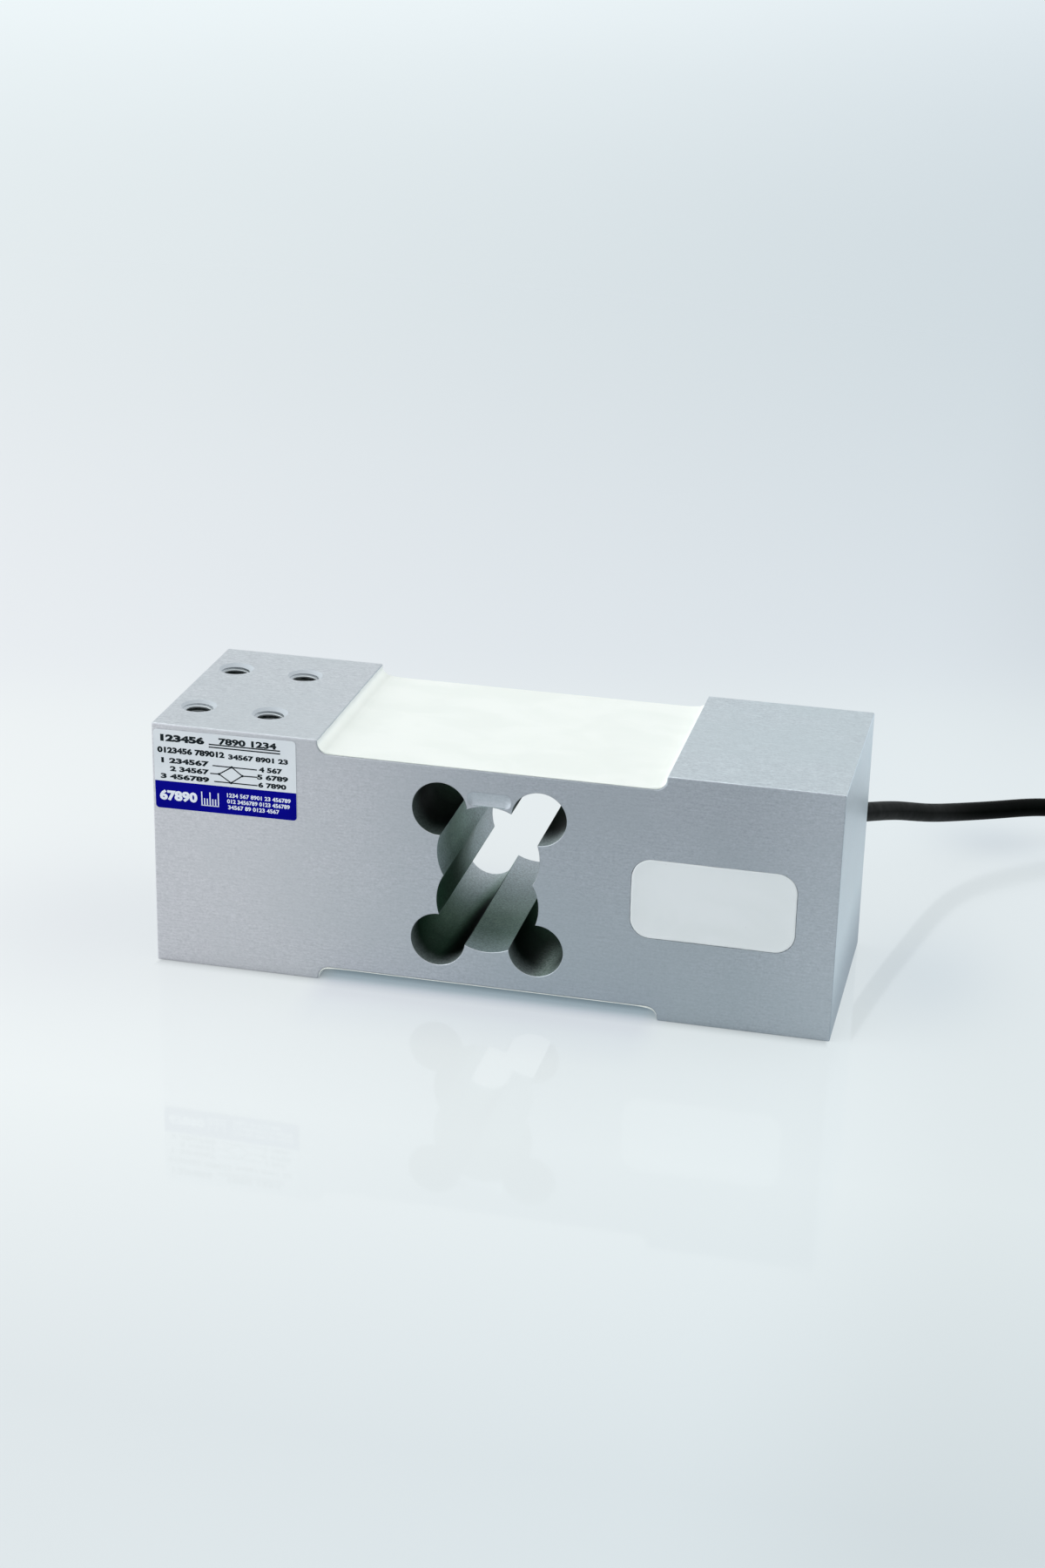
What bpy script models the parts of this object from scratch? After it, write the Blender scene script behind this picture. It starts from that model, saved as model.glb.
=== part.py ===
"""Single-point strain gauge load cell: a machined aluminium bending block with a bore pattern
through its middle, gauges on its four thin hinges, a silicone-filled wiring pocket and a
six-core cable that leaves through the rear face and is coiled on the bench.

Metres, +Z up. Origin at the centre of the block's underside, +X along the block towards the
cable end, +Y towards the rear face where the cable leaves.
"""

import math

import bmesh
import bpy
import numpy as np
from mathutils import Matrix, Vector

MM = 0.001

# block
LENGTH, WIDTH, HEIGHT = 175.0, 60.0, 65.5
EDGE_CHAMFER = 0.35
RECESS_HALF = 44.1  # half length of the relief above and below the hinges
RECESS_DEPTH = 3.6
RECESS_FILLET = 3.0
TROUGH_HALF_X, TROUGH_HALF_Y, TROUGH_DEPTH = 40.9, 26.0, 1.1  # seat of the gauges in the relief

# bore pattern, through the block along Y
PATTERN_Z = 32.85
HINGE_BORE_R, HINGE_BORE_X, HINGE_BORE_DZ = 7.0, 12.63, 17.75
MAIN_BORE_R, MAIN_BORE_DZ = 13.1, 6.55
BORE_CHAMFER = 0.25

# trimming scoop above the upper main bore, on the front face
SCOOP_R, SCOOP_DEPTH, SCOOP_HALF_X, SCOOP_Z = 5.0, 0.4, 5.9, 54.3

# wiring pocket in the front face
POCKET_X0, POCKET_X1, POCKET_Z0, POCKET_Z1 = 36.2, 77.4, 22.25, 43.4
POCKET_R, POCKET_DEPTH = 5.1, 16.0
DUCT_X, DUCT_Y, DUCT_R = 38.5, -20.0, 1.5

# M8 screw holes: tapping drill and countersink
HOLE_X, HOLE_SPACING_X, HOLE_Y = 70.6, 19.0, 15.0
DRILL_R, SINK_R = 3.4, 4.6
TOP_HOLE_DEPTH, BOTTOM_HOLE_DEPTH = 22.0, 16.0

# cable
CABLE_R = 2.6
EXIT = (81.5, 30.0, 34.2)  # centre of the cable in the rear face
EXIT_DIR = (0.28, 1.0, -0.07)
CLEAR = 0.3
COIL_X, COIL_Y, COIL_MID_R = 190.0, 87.6, 31.0
TURN_PITCH, ROW_PITCH = 5.3, 4.6
COIL_HALF_WIDTH = 1.5 * TURN_PITCH + CABLE_R + 0.15
COIL_Z0, COIL_Z1 = 1.15, 19.4
# along the cable from inside the rear face to the coil
ROUTE = (
    (83.7, 37.6, 33.55),
    (87.1, 48.5, 30.6),
    (92.6, 64.5, 25.2),
    (99.2, 80.0, 19.3),
    (108.4, 98.0, 13.5),
    (119.0, 108.6, 11.3),
    (132.0, 117.3, 10.0),
    (146.0, 122.9, 7.2),
    (160.0, 125.8, 4.2),
)

# front label
LABEL_W, LABEL_H, LABEL_R = 37.4, 21.3, 1.0
LABEL_X, LABEL_Z, LABEL_TURN = -68.2, 53.6, math.radians(0.7)

CORES = ("red", "black", "green", "white", "blue", "yellow")
CORE_COLOURS = {
    "red": (0.55, 0.03, 0.03),
    "black": (0.02, 0.02, 0.02),
    "green": (0.03, 0.32, 0.08),
    "white": (0.80, 0.80, 0.78),
    "blue": (0.03, 0.10, 0.50),
    "yellow": (0.75, 0.60, 0.05),
}
CORE_R = 0.6


def clear_scene():
    for old in list(bpy.data.objects):
        bpy.data.objects.remove(old, do_unlink=True)


def material(name, colour, roughness, metallic=0.0):
    made = bpy.data.materials.new(name)
    made.use_nodes = True
    shader = made.node_tree.nodes["Principled BSDF"]
    shader.inputs["Base Color"].default_value = (*colour, 1.0)
    shader.inputs["Roughness"].default_value = roughness
    shader.inputs["Metallic"].default_value = metallic
    made.diffuse_color = (*colour, 1.0)
    return made


def to_object(name, bm, surface=None, smooth=False):
    bmesh.ops.recalc_face_normals(bm, faces=bm.faces)
    mesh = bpy.data.meshes.new(name)
    bm.to_mesh(mesh)
    bm.free()
    if smooth:
        mesh.shade_smooth()
        mesh.set_sharp_from_angle(angle=math.radians(35))
    made = bpy.data.objects.new(name, mesh)
    bpy.context.scene.collection.objects.link(made)
    if surface:
        made.data.materials.append(surface)
    return made


def cutter(obj):
    obj.hide_render = True
    obj.display_type = "WIRE"
    return obj


def boolean(target, tool, operation="DIFFERENCE"):
    modifier = target.modifiers.new(tool.name, "BOOLEAN")
    modifier.operation = operation
    modifier.solver = "EXACT"
    modifier.object = tool
    return modifier


def loft(bm, rings):
    """Closed solid through rings of equal point counts, in millimetres."""
    made = [[bm.verts.new(Vector(p) * MM) for p in ring] for ring in rings]
    count = len(made[0])
    for low, high in zip(made[:-1], made[1:]):
        for i in range(count):
            j = (i + 1) % count
            bm.faces.new((low[i], low[j], high[j], high[i]))
    bm.faces.new(list(reversed(made[0])))
    bm.faces.new(made[-1])


def block_box(bm, low, high):
    loft(
        bm,
        [
            [(low[0], low[1], z), (high[0], low[1], z), (high[0], high[1], z), (low[0], high[1], z)]
            for z in (low[2], high[2])
        ],
    )


def turned(bm, profile, origin, axis, sides, start=0.0):
    """Solid of revolution from (distance along the axis, radius) pairs; a radius of 0 closes to a point."""
    axis = Vector(axis).normalized()
    side = axis.cross(Vector((0, 0, 1)))
    if side.length < 0.2:
        side = axis.cross(Vector((0, 1, 0)))
    side.normalize()
    other = axis.cross(side)
    rings = []
    for along, radius in profile:
        centre = Vector(origin) + axis * along
        if radius == 0:
            rings.append([bm.verts.new(centre * MM)])
            continue
        rings.append(
            [
                bm.verts.new(
                    (
                        centre
                        + side * radius * math.cos(start + 2 * math.pi * i / sides)
                        + other * radius * math.sin(start + 2 * math.pi * i / sides)
                    )
                    * MM
                )
                for i in range(sides)
            ]
        )
    for low, high in zip(rings[:-1], rings[1:]):
        for i in range(sides):
            j = (i + 1) % sides
            if len(low) == 1:
                bm.faces.new((low[0], high[i], high[j]))
            elif len(high) == 1:
                bm.faces.new((low[i], high[0], low[j]))
            else:
                bm.faces.new((low[i], high[i], high[j], low[j]))
    if len(rings[0]) > 1:
        bm.faces.new(rings[0])
    if len(rings[-1]) > 1:
        bm.faces.new(list(reversed(rings[-1])))


def rounded_rectangle(x0, x1, z0, z1, radius, steps):
    points = []
    for cx, cz, start in (
        (x1 - radius, z0 + radius, -90),
        (x1 - radius, z1 - radius, 0),
        (x0 + radius, z1 - radius, 90),
        (x0 + radius, z0 + radius, 180),
    ):
        for i in range(steps + 1):
            turn = math.radians(start + 90 * i / steps)
            points.append((cx + radius * math.cos(turn), cz + radius * math.sin(turn)))
    return points


def block_outline():
    """Side view of the block: two relieved faces between full-height pads."""
    half, inner, deep, r = LENGTH / 2, RECESS_HALF, RECESS_DEPTH, RECESS_FILLET
    fillet = [math.radians(a) for a in (0, 18, 36, 54, 72, 90)]
    right_bottom = [
        (inner - r + r * math.cos(a), deep - r + r * math.sin(a)) for a in fillet
    ]
    bottom = [(-half, 0), (-inner, 0)]
    bottom += [(-x, z) for x, z in right_bottom]
    bottom += [p for p in reversed(right_bottom)] + [(inner, 0), (half, 0)]
    top = [(x, HEIGHT - z) for x, z in reversed(bottom)]
    return bottom + top


def crossing(a, b, pick):
    """One of the two crossings of circles a and b, each (x, z, r)."""
    dx, dz = b[0] - a[0], b[1] - a[1]
    gap = math.hypot(dx, dz)
    along = (gap * gap + a[2] ** 2 - b[2] ** 2) / (2 * gap)
    up = math.sqrt(a[2] ** 2 - along * along)
    px, pz = a[0] + along * dx / gap, a[1] + along * dz / gap
    return (px - pick * up * dz / gap, pz + pick * up * dx / gap)


def arc(circle, start, end, steps):
    """Points from start towards end, counter-clockwise on the circle, without the end."""
    a = math.atan2(start[1] - circle[1], start[0] - circle[0])
    b = math.atan2(end[1] - circle[1], end[0] - circle[0])
    if b <= a:
        b += 2 * math.pi
    return [
        (
            circle[0] + circle[2] * math.cos(a + (b - a) * i / steps),
            circle[1] + circle[2] * math.sin(a + (b - a) * i / steps),
        )
        for i in range(steps)
    ]


def bore_outline(grow, small=24, side=6, end=8):
    """Outline of the six merged bores, counter-clockwise, all radii larger by grow."""
    up = (0, PATTERN_Z + MAIN_BORE_DZ, MAIN_BORE_R + grow)
    down = (0, PATTERN_Z - MAIN_BORE_DZ, MAIN_BORE_R + grow)
    r, x = HINGE_BORE_R + grow, HINGE_BORE_X
    z1, z0 = PATTERN_Z + HINGE_BORE_DZ, PATTERN_Z - HINGE_BORE_DZ
    tr, tl, bl, br = (x, z1, r), (-x, z1, r), (-x, z0, r), (x, z0, r)

    def meets(a, b):
        return crossing(a, b, 1), crossing(a, b, -1)

    waist = sorted(meets(up, down))
    left, right = waist
    upper = lambda pair: max(pair, key=lambda p: p[1])
    lower = lambda pair: min(pair, key=lambda p: p[1])
    tr_in, tr_out = upper(meets(up, tr)), lower(meets(up, tr))
    tl_in, tl_out = upper(meets(up, tl)), lower(meets(up, tl))
    bl_in, bl_out = lower(meets(down, bl)), upper(meets(down, bl))
    br_in, br_out = lower(meets(down, br)), upper(meets(down, br))
    return (
        arc(up, right, tr_out, side)
        + arc(tr, tr_out, tr_in, small)
        + arc(up, tr_in, tl_in, end)
        + arc(tl, tl_in, tl_out, small)
        + arc(up, tl_out, left, side)
        + arc(down, left, bl_out, side)
        + arc(bl, bl_out, bl_in, small)
        + arc(down, bl_in, br_in, end)
        + arc(br, br_in, br_out, small)
        + arc(down, br_out, right, side)
    )


def make_block(surface):
    bm = bmesh.new()
    outline = block_outline()
    loft(bm, [[(x, y, z) for x, z in outline] for y in (-WIDTH / 2, WIDTH / 2)])
    bmesh.ops.recalc_face_normals(bm, faces=bm.faces)
    corners = [e for e in bm.edges if e.calc_face_angle(0) > math.radians(40)]
    bmesh.ops.bevel(
        bm, geom=corners, offset=EDGE_CHAMFER * MM, segments=1, affect="EDGES", profile=0.5
    )
    block = to_object("spring_body", bm, surface, smooth=True)

    half = WIDTH / 2
    bm = bmesh.new()
    loft(
        bm,
        [
            [(x, y, z) for x, z in bore_outline(grow)]
            for y, grow in (
                (-half - 0.5, BORE_CHAMFER + 0.5),
                (-half + BORE_CHAMFER, 0),
                (half - BORE_CHAMFER, 0),
                (half + 0.5, BORE_CHAMFER + 0.5),
            )
        ],
    )
    boolean(block, cutter(to_object("cut_bores", bm)))

    bm = bmesh.new()
    shape = rounded_rectangle(POCKET_X0, POCKET_X1, POCKET_Z0, POCKET_Z1, POCKET_R, 6)
    loft(bm, [[(x, y, z) for x, z in shape] for y in (-half - 1, -half + POCKET_DEPTH)])
    boolean(block, cutter(to_object("cut_pocket", bm)))

    for name, low, high in (
        ("cut_top_trough", HEIGHT - RECESS_DEPTH - TROUGH_DEPTH, HEIGHT - RECESS_DEPTH + 0.2),
        ("cut_bottom_trough", RECESS_DEPTH - 0.2, RECESS_DEPTH + TROUGH_DEPTH),
    ):
        bm = bmesh.new()
        shape = rounded_rectangle(
            -TROUGH_HALF_X, TROUGH_HALF_X, -TROUGH_HALF_Y, TROUGH_HALF_Y, 4, 4
        )
        loft(bm, [[(x, y, z) for x, y in shape] for z in (low, high)])
        boolean(block, cutter(to_object(name, bm)))

    for name, low, high in (
        ("cut_top_duct", POCKET_Z1 - 3.5, HEIGHT - RECESS_DEPTH - TROUGH_DEPTH + 0.5),
        ("cut_bottom_duct", RECESS_DEPTH + TROUGH_DEPTH - 0.5, POCKET_Z0 + 3.5),
    ):
        bm = bmesh.new()
        turned(bm, [(0, DUCT_R), (high - low, DUCT_R)], (DUCT_X, DUCT_Y, low), (0, 0, 1), 16)
        boolean(block, cutter(to_object(name, bm)))

    bm = bmesh.new()
    for side, top, deep in ((-1, HEIGHT, TOP_HOLE_DEPTH), (1, 0.0, BOTTOM_HOLE_DEPTH)):
        down = -1 if side < 0 else 1
        for dx in (-HOLE_SPACING_X / 2, HOLE_SPACING_X / 2):
            for y in (-HOLE_Y, HOLE_Y):
                turned(
                    bm,
                    [
                        (-0.5, SINK_R + 0.5),
                        (SINK_R - DRILL_R, DRILL_R),
                        (deep - 2.0, DRILL_R),
                        (deep, 0),
                    ],
                    (side * HOLE_X + dx, y, top),
                    (0, 0, down),
                    24,
                )
    boolean(block, cutter(to_object("cut_screw_holes", bm)))

    bm = bmesh.new()
    turned(bm, [(-48.0, CABLE_R + CLEAR), (3.0, CABLE_R + CLEAR)], EXIT, EXIT_DIR, 20)
    boolean(block, cutter(to_object("cut_cable_bore", bm)))
    bm = bmesh.new()
    turned(bm, [(-7.5, 4.0), (4.0, 4.0)], EXIT, EXIT_DIR, 24)
    boolean(block, cutter(to_object("cut_boot_seat", bm)))

    bm = bmesh.new()
    turned(
        bm,
        [(0, SCOOP_R), (2 * SCOOP_HALF_X, SCOOP_R)],
        (-SCOOP_HALF_X, -half - SCOOP_R + SCOOP_DEPTH, SCOOP_Z),
        (1, 0, 0),
        48,
    )
    boolean(block, cutter(to_object("cut_trim_scoop", bm)))
    return block


def make_coat(name, surface, top):
    """Silicone sheet over the gauges: thin on the lips of the relief, thicker over the seat."""
    bm = bmesh.new()
    floor = HEIGHT - RECESS_DEPTH
    skin = rounded_rectangle(-41.0, 41.0, -29.7, 29.7, 0.6, 2)
    seat = rounded_rectangle(-40.5, 40.5, -25.6, 25.6, 3.7, 4)
    loft(bm, [[(x, y, z) for x, y in skin] for z in (floor + 0.06, floor + 0.24)])
    coat = to_object(name, bm, surface)
    bm = bmesh.new()
    loft(bm, [[(x, y, z) for x, y in seat] for z in (floor - 0.4, floor + 0.15)])
    seat_part = cutter(to_object(name + "_seat", bm))
    if not top:
        turn = Matrix.Translation((0, 0, HEIGHT * MM)) @ Matrix.Diagonal((1, 1, -1, 1))
        for part in (coat, seat_part):
            part.data.transform(turn)
            part.data.flip_normals()
    boolean(coat, seat_part, "UNION")


def make_potting(surface):
    bm = bmesh.new()
    gap = 0.1
    shape = rounded_rectangle(
        POCKET_X0 + gap, POCKET_X1 - gap, POCKET_Z0 + gap, POCKET_Z1 - gap, POCKET_R - gap, 6
    )
    front = -WIDTH / 2 + 0.03
    loft(bm, [[(x, y, z) for x, z in shape] for y in (front, front + 5.0)])
    to_object("pocket_potting", bm, surface)


def make_label(surface):
    bm = bmesh.new()
    shape = rounded_rectangle(-LABEL_W / 2, LABEL_W / 2, -LABEL_H / 2, LABEL_H / 2, LABEL_R, 4)
    cos, sin = math.cos(LABEL_TURN), math.sin(LABEL_TURN)
    shape = [(LABEL_X + x * cos - z * sin, LABEL_Z + x * sin + z * cos) for x, z in shape]
    front = -WIDTH / 2 - 0.05
    loft(bm, [[(x, y, z) for x, z in shape] for y in (front - 0.15, front)])
    to_object("rating_label", bm, surface)


def chip(name, surface, low, high, ease=0.12):
    bm = bmesh.new()
    block_box(bm, low, high)
    bmesh.ops.recalc_face_normals(bm, faces=bm.faces)
    bmesh.ops.bevel(
        bm, geom=list(bm.edges), offset=ease * MM, segments=1, affect="EDGES", profile=0.5
    )
    to_object(name, bm, surface)


def smooth_curve(points, spacing, tangents=(None, None)):
    """Points a given spacing apart on a cubic spline through the given ones (chord-length knots)."""
    p = np.asarray(points, float)
    t = np.concatenate([[0], np.cumsum(np.linalg.norm(np.diff(p, axis=0), axis=1))])
    n = len(p)
    h = np.diff(t)
    a = np.zeros((n, n))
    b = np.zeros((n, 3))
    for i in range(1, n - 1):
        a[i, i - 1], a[i, i], a[i, i + 1] = h[i - 1], 2 * (h[i - 1] + h[i]), h[i]
        b[i] = 6 * ((p[i + 1] - p[i]) / h[i] - (p[i] - p[i - 1]) / h[i - 1])
    for row, tangent in ((0, tangents[0]), (n - 1, tangents[1])):
        if tangent is None:
            a[row, row] = 1
            continue
        unit = np.asarray(tangent, float) / np.linalg.norm(tangent)
        if row == 0:
            a[0, 0], a[0, 1] = 2 * h[0], h[0]
            b[0] = 6 * ((p[1] - p[0]) / h[0] - unit)
        else:
            a[row, row], a[row, row - 1] = 2 * h[-1], h[-1]
            b[row] = 6 * (unit - (p[-1] - p[-2]) / h[-1])
    m = np.linalg.solve(a, b)
    steps = max(4, int(round(t[-1] / spacing)))
    out = []
    for s in np.linspace(0, t[-1], steps + 1):
        i = min(n - 2, max(0, int(np.searchsorted(t, s, side="right") - 1)))
        u, v = t[i + 1] - s, s - t[i]
        out.append(
            m[i] * u**3 / (6 * h[i])
            + m[i + 1] * v**3 / (6 * h[i])
            + (p[i] / h[i] - m[i] * h[i] / 6) * u
            + (p[i + 1] / h[i] - m[i + 1] * h[i] / 6) * v
        )
    return np.array(out)


def tube(name, points, radius, surface, resolution=2):
    curve = bpy.data.curves.new(name, "CURVE")
    curve.dimensions = "3D"
    curve.bevel_depth = radius * MM
    curve.bevel_resolution = resolution
    curve.use_fill_caps = True
    spline = curve.splines.new("POLY")
    spline.points.add(len(points) - 1)
    for point, where in zip(spline.points, points):
        point.co = (*(np.asarray(where) * MM), 1.0)
    made = bpy.data.objects.new(name, curve)
    made.data.materials.append(surface)
    bpy.context.scene.collection.objects.link(made)
    return made


def along_exit(distance):
    direction = Vector(EXIT_DIR).normalized()
    return tuple(Vector(EXIT) + direction * distance)


def make_boot(surface):
    """Moulded rubber entry: plug in the seat, flange on the rear face, short taper outside."""
    bm = bmesh.new()
    turned(bm, [(-6.9, 3.7), (0.8, 3.7), (1.2, 3.85), (6.9, 3.25)], EXIT, EXIT_DIR, 24)
    boot = to_object("cable_boot", bm, surface, smooth=True)
    bm = bmesh.new()
    turned(
        bm,
        [(0.3, 4.7), (1.1, 4.7), (1.5, 4.3)],
        (EXIT[0] + 0.25, EXIT[1], EXIT[2] - 0.06),
        (0, 1, 0),
        24,
    )
    boolean(boot, cutter(to_object("boot_flange", bm)), "UNION")
    bm = bmesh.new()
    turned(bm, [(-9.0, CABLE_R + CLEAR), (9.0, CABLE_R + CLEAR)], EXIT, EXIT_DIR, 20)
    boolean(boot, cutter(to_object("cut_boot_bore", bm)))


def ring_section(r0, r1, z0, z1, ease):
    return [
        (r0 + ease, z0),
        (r1 - ease, z0),
        (r1, z0 + ease),
        (r1, z1 - ease),
        (r1 - ease, z1),
        (r0 + ease, z1),
        (r0, z1 - ease),
        (r0, z0 + ease),
    ]


def make_coil(surface):
    bm = bmesh.new()
    section = ring_section(
        COIL_MID_R - COIL_HALF_WIDTH, COIL_MID_R + COIL_HALF_WIDTH, COIL_Z0, COIL_Z1, 2.2
    )
    steps = 40
    rings = []
    for k in range(steps):
        a = 2 * math.pi * k / steps
        rings.append(
            [
                bm.verts.new(
                    Vector((COIL_X + r * math.cos(a), COIL_Y + r * math.sin(a), z)) * MM
                )
                for r, z in section
            ]
        )
    count = len(section)
    for k in range(steps):
        one, two = rings[k], rings[(k + 1) % steps]
        for i in range(count):
            j = (i + 1) % count
            bm.faces.new((one[i], one[j], two[j], two[i]))
    to_object("cable_coil", bm, surface, smooth=True)


def make_tie(surface):
    """Flat strap looped round the coil's section, with its locking head on the outside."""
    angle = math.radians(205)
    out = Vector((math.cos(angle), math.sin(angle), 0))
    along = Vector((-out.y, out.x, 0))
    centre = Vector((COIL_X, COIL_Y, 0))
    r0, r1 = COIL_MID_R - COIL_HALF_WIDTH, COIL_MID_R + COIL_HALF_WIDTH
    inner = rounded_rectangle(r0 - 0.35, r1 + 0.35, 0.82, COIL_Z1 + 0.75, 2.0, 4)
    outer = rounded_rectangle(r0 - 1.15, r1 + 1.15, 0.04, COIL_Z1 + 1.55, 2.8, 4)
    bm = bmesh.new()
    loops = []
    for shape in (outer, inner):
        for shift in (-1.8, 1.8):
            loops.append(
                [
                    bm.verts.new((centre + out * r + along * shift + Vector((0, 0, z))) * MM)
                    for r, z in shape
                ]
            )
    outer_a, outer_b, inner_a, inner_b = loops
    count = len(inner)
    for a, b in ((outer_a, outer_b), (outer_b, inner_b), (inner_b, inner_a), (inner_a, outer_a)):
        for i in range(count):
            j = (i + 1) % count
            bm.faces.new((a[i], a[j], b[j], b[i]))
    tie = to_object("coil_tie", bm, surface)
    bm = bmesh.new()
    low, high = (r1 + 0.7, -2.9, 7.0), (r1 + 4.4, 2.9, 12.4)
    block_box(bm, low, high)
    head = cutter(to_object("tie_head", bm))
    head.data.transform(
        Matrix.Translation(centre * MM) @ Matrix.Rotation(angle, 4, "Z")
    )
    boolean(tie, head, "UNION")


def make_cable(surface):
    start = along_exit(-6.0)
    near_coil = COIL_Y + COIL_MID_R + 1.5 * TURN_PITCH
    points = smooth_curve(
        [start, EXIT, *ROUTE, (169.4, near_coil, 2.85)],
        11.0,
        (EXIT_DIR, (1, 0, -0.05)),
    )
    tube("cable_jacket", points, CABLE_R, surface)
    tube(
        "cable_inner_run",
        [along_exit(d) for d in np.linspace(-50.0, -6.3, 5)],
        CABLE_R,
        surface,
    )
    # tail: off the top of the coil, over its edge and down to the bench
    x = COIL_X + COIL_MID_R + TURN_PITCH
    points = smooth_curve(
        [
            (x, COIL_Y - 25.0, 17.2),
            (x, COIL_Y - 33.0, 13.6),
            (x, COIL_Y - 43.0, 7.8),
            (x, COIL_Y - 52.0, 3.9),
            (x, COIL_Y - 60.0, 3.15),
        ],
        9.0,
        ((0, -1, -0.2), (0, -1, 0)),
    )
    tube("cable_tail", points, CABLE_R, surface)
    return x, COIL_Y - 60.0


def make_far_end(x, y, surfaces, sleeve_surface, shield_surface):
    """Shrink sleeve, six stripped cores fanned out on the bench and the tinned shield wire."""
    bm = bmesh.new()
    turned(
        bm,
        [(0, 2.7), (0.4, 3.1), (13.6, 3.1), (14.0, 2.7)],
        (x, y - CLEAR, 3.15),
        (0, -1, 0),
        20,
    )
    to_object("end_sleeve", bm, sleeve_surface, smooth=True)
    face = y - CLEAR - 14.0 - CLEAR
    spread = (-11.4, -7.2, -3.2, 3.2, 7.2, 11.4)
    starts = (-1.55, -0.95, -0.35, 0.35, 0.95, 1.55)
    lifts = (0.0, 1.45, -1.5, 1.5, -1.45, 0.0)
    for core, out, off, lift in zip(
        ("yellow", "blue", "green", "white", "red", "black"), spread, starts, lifts
    ):
        reach = 31.0 - 0.012 * out * out
        points = smooth_curve(
            [
                (x + off, face, 3.15 + lift * 0.98),
                (x + off + 0.1 * out, face - 3.5, 3.1 + lift * 0.85),
                (x + 0.36 * out + off * 0.5, face - 10.0, 1.9 + lift * 0.35),
                (x + 0.70 * out, face - 18.0, 0.95),
                (x + out, face - reach, 0.72),
            ],
            4.5,
            ((0, -1, 0), None),
        )
        tube(f"core_{core}_end", points, CORE_R, surfaces[core])
    points = smooth_curve(
        [
            (x, face, 3.15),
            (x, face - 4.0, 3.05),
            (x - 0.1, face - 9.0, 2.2),
            (x + 0.1, face - 17.0, 0.8),
            (x, face - 27.0, 0.5),
        ],
        4.5,
        ((0, -1, 0), None),
    )
    tube("shield_wire_end", points, 0.42, shield_surface)


def make_pocket_parts(board_surface, foil_surface, resistor_surface, core_surfaces, tie_surface):
    floor = -WIDTH / 2 + POCKET_DEPTH
    face = floor - 1.3
    chip("compensation_board", board_surface, (41.0, face, 24.5), (61.0, floor - 0.3, 41.5))
    chip("span_resistor_upper", foil_surface, (43.2, face - 0.75, 35.6), (49.4, face - 0.2, 39.4))
    chip("span_resistor_lower", foil_surface, (43.2, face - 0.75, 26.6), (49.4, face - 0.2, 30.4))
    chip("zero_resistor", resistor_surface, (51.0, face - 1.0, 31.2), (55.2, face - 0.2, 34.8))
    bm = bmesh.new()
    turned(
        bm,
        [(-49.6, 3.9), (-47.4, 3.9)],
        EXIT,
        EXIT_DIR,
        20,
    )
    tie = to_object("pull_stop_tie", bm, tie_surface)
    bm = bmesh.new()
    turned(bm, [(-52.0, CABLE_R + CLEAR), (-44.0, CABLE_R + CLEAR)], EXIT, EXIT_DIR, 20)
    boolean(tie, cutter(to_object("cut_tie_bore", bm)))

    end = Vector(along_exit(-50.0 - CLEAR))
    inward = -Vector(EXIT_DIR).normalized()
    side = Vector((0, 0, 1)).cross(inward).normalized()
    up = inward.cross(side)
    plan = (
        ("white", 150, 1.0, 34.0),
        ("green", 210, 1.0, 31.4),
        ("blue", 90, 2.3, 36.8),
        ("yellow", 270, 2.3, 28.6),
        ("red", 30, 3.6, 39.8),
        ("black", 330, 3.6, 26.0),
    )
    for core, angle, depth, target in plan:
        a = math.radians(angle)
        first = end + side * 1.7 * math.cos(a) + up * 1.7 * math.sin(a)
        deep = first + inward * depth
        points = smooth_curve(
            [
                first,
                deep,
                (63.6, deep.y - 0.1, 0.5 * (deep.z + target)),
                (60.2, face - 3.0, target),
                (58.2, face - CORE_R - 0.2, target),
            ],
            2.2,
            (inward, (-0.5, 0.8, 0)),
        )
        tube(f"core_{core}_inner", points, CORE_R, core_surfaces[core])


def make_gauges(carrier, wire):
    seat = HEIGHT - RECESS_DEPTH - TROUGH_DEPTH
    face = -WIDTH / 2 + POCKET_DEPTH - 1.3
    for level, mirror in (("top", False), ("bottom", True)):

        def flip(z):
            return HEIGHT - z if mirror else z

        for end, sign in (("left", -1), ("right", 1)):
            x = sign * HINGE_BORE_X
            low, high = sorted((flip(seat + 0.05), flip(seat + 0.17)))
            chip(
                f"strain_gauge_{level}_{end}",
                carrier,
                (x - 4.6, -3.2, low),
                (x + 4.6, 3.2, high),
                0.03,
            )
            lane = -9.0 if sign < 0 else -5.0
            inside = DUCT_X - 0.55 if sign < 0 else DUCT_X + 0.55
            z = seat + 0.35
            drop = (33.6 + 5.0) if sign < 0 else (33.6 + 2.6)
            if mirror:
                drop = HEIGHT - ((33.6 - 7.4) if sign < 0 else (33.6 - 5.0))
            points = smooth_curve(
                [
                    (x + 4.9, -1.0, flip(z)),
                    (x + 5.9, 0.45 * lane - 0.5, flip(z)),
                    (x + 9.0, lane, flip(z)),
                    (inside - 7.0, lane, flip(z)),
                    (inside - 0.5, lane - 3.5, flip(z)),
                    (inside, DUCT_Y + 2.4, flip(z)),
                    (inside, DUCT_Y + 0.8, flip(z - 0.12)),
                    (inside, DUCT_Y, flip(z - 1.3)),
                    (inside, DUCT_Y, flip(z - 6.0)),
                    (inside, DUCT_Y, flip(drop + 4.5)),
                    (inside + 0.8, DUCT_Y + 1.2, flip(drop + 1.2)),
                    (inside + 3.6, face - 0.6, flip(drop)),
                ],
                1.3,
            )
            tube(f"gauge_leads_{level}_{end}", points, 0.2, wire)


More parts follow.
